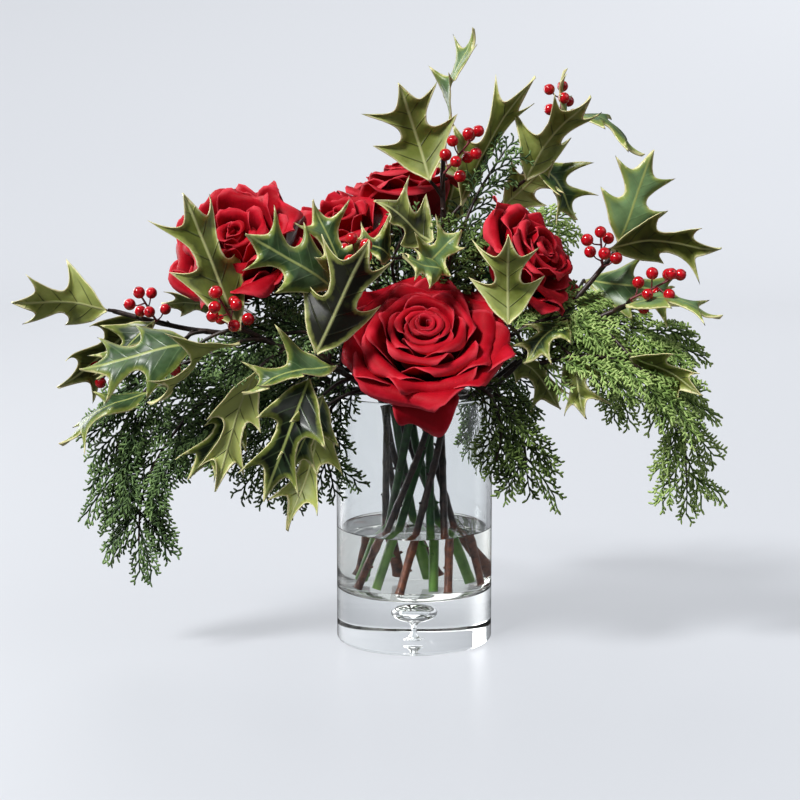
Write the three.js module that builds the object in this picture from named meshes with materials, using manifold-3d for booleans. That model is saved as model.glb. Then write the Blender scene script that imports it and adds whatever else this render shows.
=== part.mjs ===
// A cut-flower arrangement: red roses, variegated holly with berries, and cypress, in a clear glass
// cylinder vase with a thick base. Millimetres, +Z up. The origin is the centre of the vase's flat
// underside, and -Y is the front. Heights of flowers and leaves are given above the vase's rim.
import * as THREE from "three";
import { mergeVertices } from "three/addons/utils/BufferGeometryUtils.js";
import Module from "manifold-3d";

const wasm = await Module();
wasm.setup();

// ---- Driving dimensions -------------------------------------------------------------------------
const clearance = 0.4; // gap between pieces that touch
const vaseRadius = 63.5;
const vaseHeight = 203;
const vaseWall = 4;
const vaseFloor = 42; // solid glass under the water
const footBevel = 1.5; // ground edge round the underside
const vaseSides = 36;

const waterLevel = 93; // above the underside

const bubbleRadius = 12.5; // the air bubble blown into the base
const bubbleHeight = 16;
const bubbleCentre = 25; // above the underside
const bubbleTailRadius = 1.6; // the prick that the bubble was blown from
const bubbleTailShift = 5; // how far its mouth is from the vase's axis

const roseStemRadius = 3.4;
const hipRadius = 6.5; // the green swelling under a rose
const hipLength = 11;
const roseHeartShare = 0.5; // the heart's radius as a share of its rose's radius

const woodRadius = 2.8; // holly and cypress branches
const twigRadius = 1.0;
const berryRadius = 4.8;

const leafWidth = 56; // across the spines
const leafThickness = 1.1;
const leafFold = 0.18; // how far each half of a leaf rises from its midrib, per mm across
const sprayThickness = 13; // a cypress spray, across its flat face

const waistHeight = 150; // where the stems cross inside the vase
const stemFoot = 5; // how far the cut ends stay above the glass
const roseWaistRadius = 12.5;
const woodWaistRadius = 23;
const roseFootShare = 0.58; // where the cut ends stand, as shares of the vase's inner radius
const woodFootShare = 0.8;

// ---- Materials ----------------------------------------------------------------------------------
const finish = (color, roughness, options = {}) =>
  new THREE.MeshStandardMaterial({ color, roughness, metalness: 0, ...options });

const clearGlass = finish(0xe9f0f0, 0.02, { transparent: true, opacity: 0.3 });
const clearWater = finish(0xf2f2ec, 0.02, { transparent: true, opacity: 0.3 });
const redPetal = finish(0xb00f22, 0.65);
const roseGreen = finish(0x3f7a35, 0.5);
const darkBark = finish(0x2f2320, 0.75);
const hollyGreen = finish(0x5f7a45, 0.4);
const berryRed = finish(0xb80d1f, 0.15);
const cypressGreen = finish(0x587a3e, 0.7);

// ---- Solids -------------------------------------------------------------------------------------
// A geometry as a manifold-3d solid: shared vertices merged, and faces that collapsed dropped.
function solidOf(geometry) {
  const plain = new THREE.BufferGeometry();
  plain.setAttribute("position", geometry.getAttribute("position"));
  plain.setIndex(geometry.index);
  const merged = mergeVertices(plain, 1e-3);
  const corners = merged.index.array;
  const triangles = [];
  for (let i = 0; i < corners.length; i += 3) {
    const [a, b, c] = corners.slice(i, i + 3);
    if (a !== b && b !== c && c !== a) triangles.push(a, b, c);
  }
  return new wasm.Manifold(
    new wasm.Mesh({
      numProp: 3,
      vertProperties: merged.getAttribute("position").array,
      triVerts: new Uint32Array(triangles),
    }),
  );
}

// Geometries that are in each other, joined into one solid.
const joined = (geometries) =>
  geometries.map(solidOf).reduce((whole, piece) => whole.add(piece));

function geometryOf(solid) {
  const made = solid.getMesh();
  const geometry = new THREE.BufferGeometry();
  geometry.setAttribute("position", new THREE.BufferAttribute(made.vertProperties, 3));
  geometry.setIndex(new THREE.BufferAttribute(made.triVerts, 1));
  geometry.computeVertexNormals();
  return geometry;
}

const boxesMeet = (a, b) =>
  [0, 1, 2].every((axis) => a.min[axis] < b.max[axis] && b.min[axis] < a.max[axis]);

const arrangement = new THREE.Group();
const keepOuts = []; // what later pieces stay clear of

// Adds a named piece. shape(grow) gives its solid, swollen by grow. The piece is cut back from
// the pieces already there, and a scrap that such a cut leaves loose is not part of it.
function place(name, material, shape) {
  let solid = shape(0);
  const reach = solid.boundingBox();
  for (const keepOut of keepOuts) {
    if (boxesMeet(reach, keepOut.boundingBox())) solid = solid.subtract(keepOut);
  }
  const [largest] = solid.decompose().sort((a, b) => b.volume() - a.volume());
  keepOuts.push(shape(clearance));
  const mesh = new THREE.Mesh(geometryOf(largest), material);
  mesh.name = name;
  arrangement.add(mesh);
}

// ---- Shapes -------------------------------------------------------------------------------------
const vector = ([x, y, z]) => new THREE.Vector3(x, y, z);
const aboveRim = ([x, y, height]) => new THREE.Vector3(x, y, vaseHeight + height);

// A solid of revolution about +Z, from [radius, height] points.
const turned = (profile, sides) =>
  new THREE.LatheGeometry(
    profile.map(([radius, height]) => new THREE.Vector2(radius, height)),
    sides,
  ).rotateX(Math.PI / 2);

// Turns a geometry from +Z to point along a direction, and moves it.
function aimed(geometry, direction, position) {
  const turn = new THREE.Quaternion().setFromUnitVectors(
    new THREE.Vector3(0, 0, 1),
    direction.clone().normalize(),
  );
  return geometry.applyQuaternion(turn).translate(...position.toArray());
}

// A round rod along a smooth curve through points, swollen by grow all over.
function rod(points, radius, grow = 0, stepLength = 24, sides = 6) {
  const lengthened = (end, inner) =>
    end.clone().add(end.clone().sub(inner).setLength(Math.max(grow, 1e-6)));
  const route = [
    lengthened(points[0], points[1]),
    ...points.slice(1, -1),
    lengthened(points.at(-1), points.at(-2)),
  ];
  const curve = new THREE.CatmullRomCurve3(route, false, "centripetal");
  const section = new THREE.Shape().absarc(0, 0, radius + grow, 0, 2 * Math.PI);
  return new THREE.ExtrudeGeometry(section, {
    steps: Math.max(1, Math.round(curve.getLength() / stepLength)),
    curveSegments: sides / 2,
    extrudePath: curve,
    bevelEnabled: false,
  });
}

// Bends a geometry that lies along +X from 0 to 1: x runs along the curve, and straight on past
// its ends. y goes across it and z towards the side it faces.
function bent(geometry, curve, facing) {
  const position = geometry.getAttribute("position");
  for (let i = 0; i < position.count; i++) {
    const share = THREE.MathUtils.clamp(position.getX(i), 0, 1);
    const along = curve.getTangent(share);
    const across = new THREE.Vector3().crossVectors(facing, along).normalize();
    const out = new THREE.Vector3().crossVectors(along, across);
    const point = curve
      .getPoint(share)
      .addScaledVector(along, (position.getX(i) - share) * curve.getLength())
      .addScaledVector(across, position.getY(i))
      .addScaledVector(out, position.getZ(i));
    position.setXYZ(i, ...point.toArray());
  }
  return geometry;
}

// ---- Vase, with its air bubble ------------------------------------------------------------------
const innerRadius = vaseRadius - vaseWall;
const rimRound = vaseWall / 2;

place("glass_vase", clearGlass, (grow) => {
  const outer = vaseRadius + grow;
  const inner = innerRadius - grow;
  const body = solidOf(
    turned(
      [
        [0, -grow],
        [outer - footBevel, -grow],
        [outer, footBevel],
        [outer, vaseHeight - rimRound],
        [outer - rimRound / 2, vaseHeight - rimRound / 4 + grow],
        [inner + rimRound / 2, vaseHeight - rimRound / 4 + grow],
        [inner, vaseHeight - rimRound],
        [inner, vaseFloor + grow],
        [0, vaseFloor + grow],
      ],
      vaseSides,
    ),
  );
  const bubble = new THREE.SphereGeometry(bubbleRadius, 14, 8)
    .rotateX(Math.PI / 2)
    .scale(1, 1, bubbleHeight / (2 * bubbleRadius))
    .translate(0, 0, bubbleCentre);
  const tail = rod(
    [vector([0, 0, bubbleCentre]), vector([-bubbleTailShift, 0, -1 - grow])],
    bubbleTailRadius,
    0,
    bubbleCentre,
  );
  return body.subtract(solidOf(bubble)).subtract(solidOf(tail));
});

// ---- Stems crossing inside the vase -------------------------------------------------------------
// Each stem runs straight past the others, as one line of a twisted bundle. azimuth, in degrees,
// is the side that it leaves the mouth on. Gives its cut end and its place in the mouth.
function insideVase(azimuth, waistRadius, footShare) {
  const foot = vaseFloor + stemFoot;
  const spread = Math.sqrt((footShare * innerRadius) ** 2 - waistRadius ** 2);
  const lean = spread / (waistHeight - foot);
  const rise = vaseHeight - waistHeight;
  const turn = THREE.MathUtils.degToRad(azimuth) - Math.atan2(lean * rise, waistRadius);
  const at = (height) => {
    const slide = lean * (height - waistHeight);
    return new THREE.Vector3(
      waistRadius * Math.cos(turn) - slide * Math.sin(turn),
      waistRadius * Math.sin(turn) + slide * Math.cos(turn),
      height,
    );
  };
  return [at(foot), at(waistHeight), at(vaseHeight)];
}

// Where a rod of that radius rests on the rim.
function overRim(azimuth, radius, lift = 0) {
  const angle = THREE.MathUtils.degToRad(azimuth);
  return aboveRim([
    (vaseRadius - rimRound) * Math.cos(angle),
    (vaseRadius - rimRound) * Math.sin(angle),
    radius + 2 * clearance + lift,
  ]);
}

// ---- Roses: stem with its hip, outer petals, heart ----------------------------------------------
// azimuth: side of the bundle. seat: where the petals start. faces: the way the rose looks.
const roses = [
  {
    name: "rose_front",
    azimuth: -90,
    leansOver: -84,
    seat: [7, -62, 28],
    faces: [0, -0.66, 0.75],
    radius: 62,
    height: 50,
  },
  {
    name: "rose_right",
    azimuth: -18,
    seat: [66, -34, 94],
    faces: [0.72, -0.42, 0.55],
    radius: 48,
    height: 52,
  },
  {
    name: "rose_top",
    azimuth: 54,
    seat: [-8, 38, 126],
    faces: [-0.1, 0.1, 0.98],
    radius: 46,
    height: 56,
  },
  {
    name: "rose_left",
    azimuth: 126,
    seat: [-125, -40, 92],
    faces: [-0.25, -0.6, 0.75],
    radius: 58,
    height: 52,
  },
  {
    name: "rose_centre",
    azimuth: 198,
    seat: [-54, 6, 102],
    faces: [-0.15, -0.35, 0.92],
    radius: 40,
    height: 46,
  },
];

const bloomSides = 12;

for (const { name, azimuth, leansOver, seat, faces } of roses) {
  const neck = aboveRim(seat);
  const axis = vector(faces).normalize();
  const hipBase = neck.clone().addScaledVector(axis, -hipLength);
  const route = [
    ...insideVase(azimuth, roseWaistRadius, roseFootShare),
    ...(leansOver ? [overRim(leansOver, roseStemRadius, 1)] : []),
    hipBase,
  ];
  place(`${name}_stem`, roseGreen, (grow) =>
    joined([
      rod(route, roseStemRadius, grow),
      aimed(
        turned(
          [
            [0, -1 - grow],
            [roseStemRadius + grow, -1 - grow],
            [hipRadius + grow, 0.7 * hipLength],
            [hipRadius + grow, hipLength - clearance + grow],
            [0, hipLength - clearance + grow],
          ],
          8,
        ),
        axis,
        hipBase,
      ),
    ]),
  );
}

// ---- Woody branches of holly and cypress --------------------------------------------------------
// Each has a main rod that starts in the water, and may fork. Places are above the rim.
const branches = [
  {
    name: "holly_branch_left_front",
    azimuth: 225,
    leansOver: 245,
    main: [
      [-70, -86, 36],
      [-114, -93, 53],
      [-155, -100, 80],
    ],
  },
  {
    name: "holly_branch_far_left",
    azimuth: 180,
    leansOver: 172,
    main: [
      [-110, -14, 42],
      [-185, -26, 56],
      [-240, -22, 69],
    ],
  },
  {
    name: "holly_branch_top",
    azimuth: 45,
    main: [
      [27, 8, 60],
      [24, -12, 120],
      [22, -18, 168],
      [24, -6, 214],
    ],
    fork: [
      [27, 0, 82],
      [64, 4, 142],
      [97, 16, 190],
      [120, 36, 228],
    ],
  },
  {
    name: "holly_branch_right",
    azimuth: 0,
    leansOver: -28,
    main: [
      [100, -52, 52],
      [132, -48, 88],
      [158, -38, 118],
    ],
    fork: [
      [92, -50, 44],
      [140, -58, 66],
      [172, -62, 80],
    ],
  },
  {
    name: "holly_branch_back",
    azimuth: 135,
    leansOver: 112,
    main: [
      [-32, 86, 48],
      [-46, 126, 78],
      [-62, 150, 96],
    ],
    fork: [
      [-32, 84, 44],
      [26, 118, 74],
      [78, 150, 90],
    ],
  },
  {
    name: "cypress_branch_left",
    azimuth: 202,
    leansOver: 200,
    main: [[-96, -40, 24]],
  },
  {
    name: "cypress_branch_right",
    azimuth: -45,
    leansOver: -48,
    main: [[84, -66, 38]],
  },
  {
    name: "cypress_branch_back",
    azimuth: 90,
    leansOver: 78,
    main: [[34, 96, 36]],
  },
];

for (const { name, azimuth, leansOver, main, fork } of branches) {
  const route = [
    ...insideVase(azimuth, woodWaistRadius, woodFootShare),
    ...(leansOver ? [overRim(leansOver, woodRadius)] : []),
    ...main.map(aboveRim),
  ];
  place(name, darkBark, (grow) =>
    joined([
      rod(route, woodRadius, grow),
      ...(fork ? [rod(fork.map(aboveRim), 0.85 * woodRadius, grow)] : []),
    ]),
  );
}

// ---- Water --------------------------------------------------------------------------------------
place("water", clearWater, (grow) =>
  solidOf(
    turned(
      [
        [0, vaseFloor + clearance - grow],
        [innerRadius - clearance + grow, vaseFloor + clearance - grow],
        [innerRadius - clearance + grow, waterLevel + grow],
        [0, waterLevel + grow],
      ],
      vaseSides,
    ),
  ),
);

// ---- Petals -------------------------------------------------------------------------------------
for (const { name, seat, faces, radius, height } of roses) {
  const neck = aboveRim(seat);
  const axis = vector(faces).normalize();
  const heart = roseHeartShare * radius;
  place(`${name}_outer_petals`, redPetal, (grow) =>
    solidOf(
      aimed(
        turned(
          [
            [0, -grow],
            [1.3 * hipRadius, -grow],
            [0.6 * radius + grow, 0.22 * height],
            [0.92 * radius + grow, 0.6 * height],
            [radius + grow, 0.88 * height],
            [0.92 * radius, 0.95 * height + grow],
            [heart + clearance + 0.18 * radius, 0.9 * height + grow],
            [heart + clearance, 0.55 * height + grow],
            [0.7 * heart, 0.3 * height + grow],
            [0, 0.3 * height + grow],
          ],
          bloomSides,
        ),
        axis,
        neck,
      ),
    ),
  );
  place(`${name}_heart`, redPetal, (grow) =>
    solidOf(
      aimed(
        turned(
          [
            [0, 0.3 * height + clearance - grow],
            [0.65 * heart + grow, 0.3 * height + clearance - grow],
            [heart - clearance + grow, 0.6 * height],
            [0.86 * heart + grow, 0.92 * height],
            [0.5 * heart, height + grow],
            [0, 0.94 * height + grow],
          ],
          bloomSides,
        ),
        axis,
        neck,
      ),
    ),
  );
}

// ---- Cypress sprays -----------------------------------------------------------------------------
// Each is a flat drooping fan of scaly twigs, as one solid of its outline. width: half across.
const sprays = [
  {
    name: "cypress_spray_left",
    faces: [-0.3, -0.9, 0.3],
    width: 34,
    route: [
      [-100, -42, 24],
      [-150, -50, 12],
      [-192, -52, -28],
      [-218, -48, -78],
      [-222, -44, -124],
    ],
  },
  {
    name: "cypress_spray_left_inner",
    faces: [0.1, -0.95, 0.2],
    width: 34,
    route: [
      [-78, -16, 6],
      [-100, -14, -10],
      [-114, -12, -38],
      [-118, -10, -70],
    ],
  },
  {
    name: "cypress_spray_right",
    faces: [0.2, -0.75, 0.6],
    width: 36,
    route: [
      [88, -68, 38],
      [136, -70, 48],
      [180, -68, 36],
      [210, -64, -4],
      [220, -60, -70],
    ],
  },
  {
    name: "cypress_spray_right_inner",
    faces: [0.1, -0.9, 0.4],
    width: 36,
    route: [
      [62, -60, 8],
      [76, -74, -6],
      [84, -80, -28],
      [86, -82, -56],
    ],
  },
  {
    name: "cypress_spray_back",
    faces: [0.2, 0.8, 0.6],
    width: 36,
    route: [
      [36, 100, 38],
      [56, 146, 34],
      [74, 176, -10],
      [80, 184, -66],
    ],
  },
  {
    name: "cypress_spray_top",
    faces: [-0.3, -0.8, 0.5],
    width: 24,
    route: [
      [44, 26, 92],
      [78, 52, 118],
      [124, 80, 142],
    ],
  },
];

for (const { name, faces, width, route } of sprays) {
  const curve = new THREE.CatmullRomCurve3(route.map(aboveRim), false, "centripetal");
  place(name, cypressGreen, (grow) => {
    const blank = new THREE.CylinderGeometry(1, 1, 1, 8, 9).rotateZ(-Math.PI / 2).translate(0.5, 0, 0);
    const position = blank.getAttribute("position");
    for (let i = 0; i < position.count; i++) {
      const share = position.getX(i);
      const swell = Math.sin(Math.PI * (0.1 + 0.8 * share ** 0.8)); // narrow ends, full middle
      position.setX(i, share + (2 * share - 1) * (grow / curve.getLength()));
      position.setY(i, position.getY(i) * (width * swell + grow));
      position.setZ(i, position.getZ(i) * (0.5 * sprayThickness * (0.5 + 0.5 * swell) + grow));
    }
    return solidOf(bent(blank, curve, vector(faces)));
  });
}

// ---- Berries ------------------------------------------------------------------------------------
// A cluster's twig starts at root and points along grows. The berries stand round it on stalks.
const clusters = [
  { name: "berries_top", root: [23, -30, 178], grows: [0.6, -0.2, 0.75], count: 9 },
  { name: "berries_top_right", root: [119, 42, 220], grows: [0.1, 0.3, 0.95], count: 6 },
  { name: "berries_right_upper", root: [146, -50, 106], grows: [-0.1, -0.3, 0.95], count: 6 },
  { name: "berries_right_lower", root: [166, -66, 82], grows: [0.85, -0.2, 0.45], count: 9 },
  { name: "berries_centre", root: [-48, -70, 98], grows: [0.1, -0.5, 0.85], count: 6 },
  { name: "berries_left", root: [-134, -104, 62], grows: [-0.3, -0.6, 0.7], count: 9 },
  { name: "berries_far_left", root: [-204, -34, 62], grows: [-0.4, -0.4, 0.8], count: 6 },
];
const berrySpacing = 4.6; // along the twig
const berryReach = 11; // out from the twig
const goldenAngle = Math.PI * (3 - Math.sqrt(5));

for (const { name, root, grows, count } of clusters) {
  const start = aboveRim(root);
  const axis = vector(grows).normalize();
  const side = new THREE.Vector3(0, 1, 0).cross(axis).normalize();
  const other = new THREE.Vector3().crossVectors(axis, side);
  const top = start.clone().addScaledVector(axis, 4 + berrySpacing * count);
  place(name, berryRed, (grow) => {
    const pieces = [rod([start, top], twigRadius, grow, 100, 4)];
    for (let k = 0; k < count; k++) {
      const knee = start.clone().addScaledVector(axis, berrySpacing * k);
      const reach = k === count - 1 ? 0 : berryReach;
      const centre = start
        .clone()
        .addScaledVector(axis, 6 + berrySpacing * k)
        .addScaledVector(side, reach * Math.cos(goldenAngle * k))
        .addScaledVector(other, reach * Math.sin(goldenAngle * k));
      pieces.push(
        rod([knee, centre], 0.7 * twigRadius, grow, 100, 4),
        new THREE.OctahedronGeometry(berryRadius + grow, 1).translate(...centre.toArray()),
      );
    }
    return joined(pieces);
  });
}

// ---- Holly leaves -------------------------------------------------------------------------------
// Half of the blade from base to tip: two long spines, with a hollow past each, and the tip's own
// spine. [share of the length, share of half the width]
const blade = [
  [0, 0.08],
  [0.14, 0.48],
  [0.36, 1],
  [0.43, 0.56],
  [0.56, 0.5],
  [0.74, 0.92],
  [0.79, 0.42],
  [1, 0.02],
];

// base and tip: ends of the blade. faces: the way the upper side looks. bow: rise of the middle.
const leaves = [
  { name: "far_left", base: [-244, -24, 70], tip: [-320, -32, 76], faces: [0.1, 0.9, 0.3] },
  { name: "left_dark", base: [-212, -8, 60], tip: [-284, -14, 4], faces: [0, 0.85, 0.5] },
  { name: "left_front", base: [-166, -96, 50], tip: [-250, -98, 28], faces: [-0.1, -0.8, 0.6] },
  { name: "left_upright", base: [-132, -110, 62], tip: [-170, -112, 164], faces: [0.3, -0.95, 0] },
  { name: "hanging_pale", base: [-120, -108, 32], tip: [-150, -118, -58], faces: [-0.3, 0.9, 0.1] },
  { name: "hanging_dark", base: [-80, -104, 26], tip: [-114, -126, -64], faces: [0.1, -0.9, 0.3] },
  { name: "hanging_back", base: [-72, -76, -2], tip: [-100, -82, -96], faces: [0.3, 0.9, 0] },
  { name: "centre_dark", base: [-74, -122, 46], tip: [-34, -138, 130], faces: [0.2, -0.95, 0.3] },
  { name: "centre_left", base: [-62, -86, 92], tip: [-126, -112, 134], faces: [0, -0.9, 0.4] },
  { name: "centre_top", base: [14, -58, 126], tip: [-26, -72, 160], faces: [0, -0.8, 0.6] },
  { name: "centre_right", base: [70, -104, 66], tip: [69, -112, 132], faces: [0, 0.95, 0.3] },
  { name: "top_left", base: [12, -26, 172], tip: [-10, -34, 248], faces: [0, 0.95, 0.2] },
  { name: "top_tall", base: [27, -6, 219], tip: [48, -4, 292], faces: [-0.95, -0.25, 0.1] },
  { name: "top_long", base: [36, -16, 152], tip: [96, -18, 250], faces: [-0.6, 0.75, 0.2] },
  { name: "top_right", base: [88, -4, 172], tip: [138, -24, 236], faces: [-0.4, 0.9, 0.2] },
  { name: "top_drooping", base: [128, 44, 226], tip: [186, 40, 190], faces: [0.3, -0.2, 0.9] },
  { name: "right_upright", base: [160, -34, 124], tip: [184, -32, 194], faces: [0.2, -0.95, 0.2] },
  { name: "right_dark", base: [152, -42, 120], tip: [239, -50, 118], faces: [0.1, 0.75, 0.6] },
  { name: "right_blue", base: [134, -26, 94], tip: [216, -34, 74], faces: [0.1, -0.75, 0.65] },
  { name: "right_low", base: [162, -70, 78], tip: [234, -82, 68], faces: [0.1, -0.3, 0.95] },
  { name: "back_left", base: [-66, 154, 98], tip: [-126, 186, 110], faces: [-0.2, 0.5, 0.85] },
  { name: "back_right", base: [82, 154, 92], tip: [134, 184, 78], faces: [0.2, 0.5, 0.85] },
];
const leafBow = 0.1; // rise of the middle, as a share of the length

for (const { name, base, tip, faces } of leaves) {
  const start = aboveRim(base);
  const end = aboveRim(tip);
  const facing = vector(faces).normalize();
  const middle = start
    .clone()
    .lerp(end, 0.5)
    .addScaledVector(facing, 2 * leafBow * start.distanceTo(end));
  const curve = new THREE.QuadraticBezierCurve3(start, middle, end);
  place(`holly_leaf_${name}`, hollyGreen, (grow) => {
    const cuts = blade.length - 1;
    const blank = new THREE.BoxGeometry(1, 2, leafThickness + 2 * grow, cuts, 2, 1).translate(0.5, 0, 0);
    const position = blank.getAttribute("position");
    for (let i = 0; i < position.count; i++) {
      const [share, breadth] = blade[Math.round(position.getX(i) * cuts)];
      const across = position.getY(i) * (breadth * 0.5 * leafWidth + grow);
      position.setX(i, share + (2 * share - 1) * (grow / curve.getLength()));
      position.setY(i, across);
      position.setZ(i, position.getZ(i) + leafFold * Math.abs(across));
    }
    return solidOf(bent(blank, curve, facing));
  });
}

export default arrangement;
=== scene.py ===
# A cut-flower arrangement: red roses, variegated holly with berries, and drooping cypress, standing
# in water in a clear glass cylinder vase. Metres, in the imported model's own frame: +Z up, -Y front.
# The tables of places and of plant sizes are in millimetres, with heights counted from the rim.
import math
import random

import bmesh
import bpy
from mathutils import Matrix, Vector, noise


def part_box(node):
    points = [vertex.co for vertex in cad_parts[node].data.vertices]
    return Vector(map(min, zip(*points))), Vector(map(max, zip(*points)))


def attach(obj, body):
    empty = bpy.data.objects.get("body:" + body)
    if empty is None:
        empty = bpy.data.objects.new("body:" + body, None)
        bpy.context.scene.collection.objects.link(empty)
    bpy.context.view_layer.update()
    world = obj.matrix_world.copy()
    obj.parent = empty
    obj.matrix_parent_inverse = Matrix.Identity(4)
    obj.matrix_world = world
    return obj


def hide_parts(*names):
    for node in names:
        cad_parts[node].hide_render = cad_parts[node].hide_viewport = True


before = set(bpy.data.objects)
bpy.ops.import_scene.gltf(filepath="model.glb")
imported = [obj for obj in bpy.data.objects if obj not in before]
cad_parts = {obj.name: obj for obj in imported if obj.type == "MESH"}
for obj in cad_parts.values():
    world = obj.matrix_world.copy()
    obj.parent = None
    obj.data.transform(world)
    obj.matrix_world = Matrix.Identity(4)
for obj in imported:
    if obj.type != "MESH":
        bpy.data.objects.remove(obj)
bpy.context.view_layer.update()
MM = 0.001

# ---- Camera -------------------------------------------------------------------------------------
# A short telephoto at flower height, a metre and a half away, tipped a little down.
tipped_down = 7.9
camera = bpy.data.objects.new("camera", bpy.data.cameras.new("camera"))
camera.data.lens = 84.6
camera.data.sensor_width = 36.0
camera.location = (-0.01165, -1.514, 0.407)
camera.rotation_euler = (math.radians(90 - tipped_down), 0, 0)
bpy.context.collection.objects.link(camera)
bpy.context.scene.camera = camera

# ---- Studio -------------------------------------------------------------------------------------
# A matt pale sweep: a round floor that curves up all round into a low wall. An even pale sky, one
# broad soft key from the upper left and weaker ones from the right and behind light it, and a
# window light behind on the left draws the streaks on the glass.
def linear(hex_colour):
    """A colour written as sRGB hex, as the linear values that shaders take."""
    shares = [int(hex_colour[i : i + 2], 16) / 255 for i in (1, 3, 5)]
    return [s / 12.92 if s <= 0.04045 else ((s + 0.055) / 1.055) ** 2.4 for s in shares] + [1.0]


def add(tree, kind, inputs=None, stops=(), **settings):
    """Adds a shader node with its settings, its inputs' values and links (a node stands for its
    first output) and, for a ramp of colours, its stops in order."""
    made = tree.nodes.new("ShaderNode" + kind)
    for name, value in settings.items():
        setattr(made, name, value)
    for name, value in (inputs or {}).items():
        if isinstance(value, bpy.types.Node):
            value = value.outputs[0]
        if isinstance(value, bpy.types.NodeSocket):
            tree.links.new(value, made.inputs[name])
        else:
            made.inputs[name].default_value = value
    if stops:
        ramp = made.color_ramp.elements
        for end in (0, -1):
            ramp[end].position, ramp[end].color = stops[end][0], linear(stops[end][1])
        for position, hex_colour in stops[1:-1]:
            ramp.new(position).color = linear(hex_colour)
    return made


def new_material(name, **shader_inputs):
    """An empty named material: its tree and its one shader, with what is the same all over."""
    made = bpy.data.materials.new(name)
    made.use_nodes = True
    made.node_tree.nodes.clear()
    tree = made.node_tree
    shader = add(tree, "BsdfPrincipled")
    for label, value in shader_inputs.items():
        shader.inputs[label.replace("_", " ")].default_value = value
    add(tree, "OutputMaterial", {"Surface": shader})
    return made, tree, shader


# an even pale grey that takes soft shade, with a painted glow that keeps the shade faint, and painted
# near black where a glass wall mirrors the floor in front
painted_floor, tree, shader = new_material("matt_white_paint", Roughness=0.5)
path = add(tree, "LightPath")
place = add(tree, "TexCoord")
away = add(tree, "SeparateXYZ", {"Vector": place.outputs["Object"]})
near = add(  # from 1 in front of the vase to 0 well behind it
    tree,
    "MapRange",
    {"Value": away.outputs["Y"], "From Min": -0.5, "From Max": 1.1, "To Min": 1.0, "To Max": 0.0},
)
mirrored = add(  # the floor in front, as a glass wall mirrors it
    tree, "Math", {0: path.outputs["Glossy Depth"], 1: near}, operation="MINIMUM"
)
paint = add(  # it throws little light up, as a small stand does, so that shade stays deep
    tree,
    "Mix",
    {"Factor": path.outputs["Is Reflection Ray"], 6: linear("#888a8e"), 7: linear("#68686a")},
    data_type="RGBA",
)
# painted reflection: the floor in front is painted near black where a glass wall mirrors it
paint_or_painted_dark_reflection = add(
    tree, "Mix", {"Factor": mirrored, 6: paint.outputs[2], 7: linear("#1c1c1e")}, data_type="RGBA"
)
straight = add(  # seen directly or through glass
    tree,
    "Math",
    {0: path.outputs["Is Camera Ray"], 1: path.outputs["Is Transmission Ray"]},
    operation="MAXIMUM",
)
even = add(  # a share of even light keeps the shade on the floor faint
    tree, "Math", {0: straight, 1: mirrored}, operation="SUBTRACT", use_clamp=True
)
glow = add(tree, "Math", {0: even, 1: 0.5}, operation="MULTIPLY")
shader.inputs["Emission Color"].default_value = linear("#f4f8ff")
tree.links.new(paint_or_painted_dark_reflection.outputs[2], shader.inputs["Base Color"])
tree.links.new(glow.outputs[0], shader.inputs["Emission Strength"])
floor_drop = 0.4 * MM  # the foot's own hollow lifts the glass clear of the floor
flat_radius = 3.2
curve_radius = 1.6
curve_steps = 12
bm = bmesh.new()
bmesh.ops.create_circle(bm, cap_ends=True, segments=96, radius=flat_radius)
rim = [edge for edge in bm.edges if edge.is_boundary]
for step in range(1, curve_steps + 1):
    rise = math.radians(90 * step / curve_steps)
    grown = bmesh.ops.extrude_edge_only(bm, edges=rim)["geom"]
    rim = [item for item in grown if isinstance(item, bmesh.types.BMEdge) and item.is_boundary]
    for vert in {vert for edge in rim for vert in edge.verts}:
        way = Vector((vert.co.x, vert.co.y, 0)).normalized()
        way *= flat_radius + curve_radius * math.sin(rise)
        vert.co = (way.x, way.y, curve_radius * (1 - math.cos(rise)))
bmesh.ops.recalc_face_normals(bm, faces=bm.faces)
bmesh.ops.translate(bm, verts=bm.verts, vec=(0, 0, -floor_drop))
mesh = bpy.data.meshes.new("floor")
bm.to_mesh(mesh)
bm.free()
mesh.materials.append(painted_floor)
mesh.polygons.foreach_set("use_smooth", [True] * len(mesh.polygons))
floor = bpy.data.objects.new("floor", mesh)
bpy.context.collection.objects.link(floor)

sky = bpy.data.worlds.new("studio_sky")
sky.use_nodes = True
sky.node_tree.nodes.clear()
tree = sky.node_tree
seen = add(tree, "Background", {"Color": linear("#e2e6ea"), "Strength": 1.0})
lights = add(tree, "Background", {"Color": linear("#e6ebf2"), "Strength": 0.17})
path = add(tree, "LightPath")
both = add(tree, "MixShader", {0: path.outputs["Is Reflection Ray"], 1: seen, 2: lights})
add(tree, "OutputWorld", {"Surface": both})
bpy.context.scene.world = sky
bpy.context.scene.view_settings.view_transform = "Standard"

for name, strength, spread, direction in (  # spread in degrees: the wider, the softer its shade
    ("key_light", 3.75, 14, (0.62, 0.5, -0.8)),
    ("side_light", 0.5, 50, (-0.8, 0.3, -0.7)),
    ("back_light", 0.5, 40, (0.2, -0.7, -0.75)),
):
    lamp = bpy.data.lights.new(name, "SUN")
    lamp.energy = strength
    lamp.angle = math.radians(spread)
    lamp_object = bpy.data.objects.new(name, lamp)
    lamp_object.rotation_euler = Vector(direction).to_track_quat("-Z", "Y").to_euler()
    bpy.context.collection.objects.link(lamp_object)
window = bpy.data.lights.new("window_light", "AREA")
window.shape = "RECTANGLE"
window.size = 0.7
window.size_y = 1.5
window.energy = 22
window_object = bpy.data.objects.new("window_light", window)
window_object.location = (-1.3, 1.2, 0.6)
window_object.rotation_euler = Vector((1.3, -1.2, -0.4)).to_track_quat("-Z", "Y").to_euler()
window_object.visible_camera = False
window_object.visible_diffuse = False
bpy.context.collection.objects.link(window_object)

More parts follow.
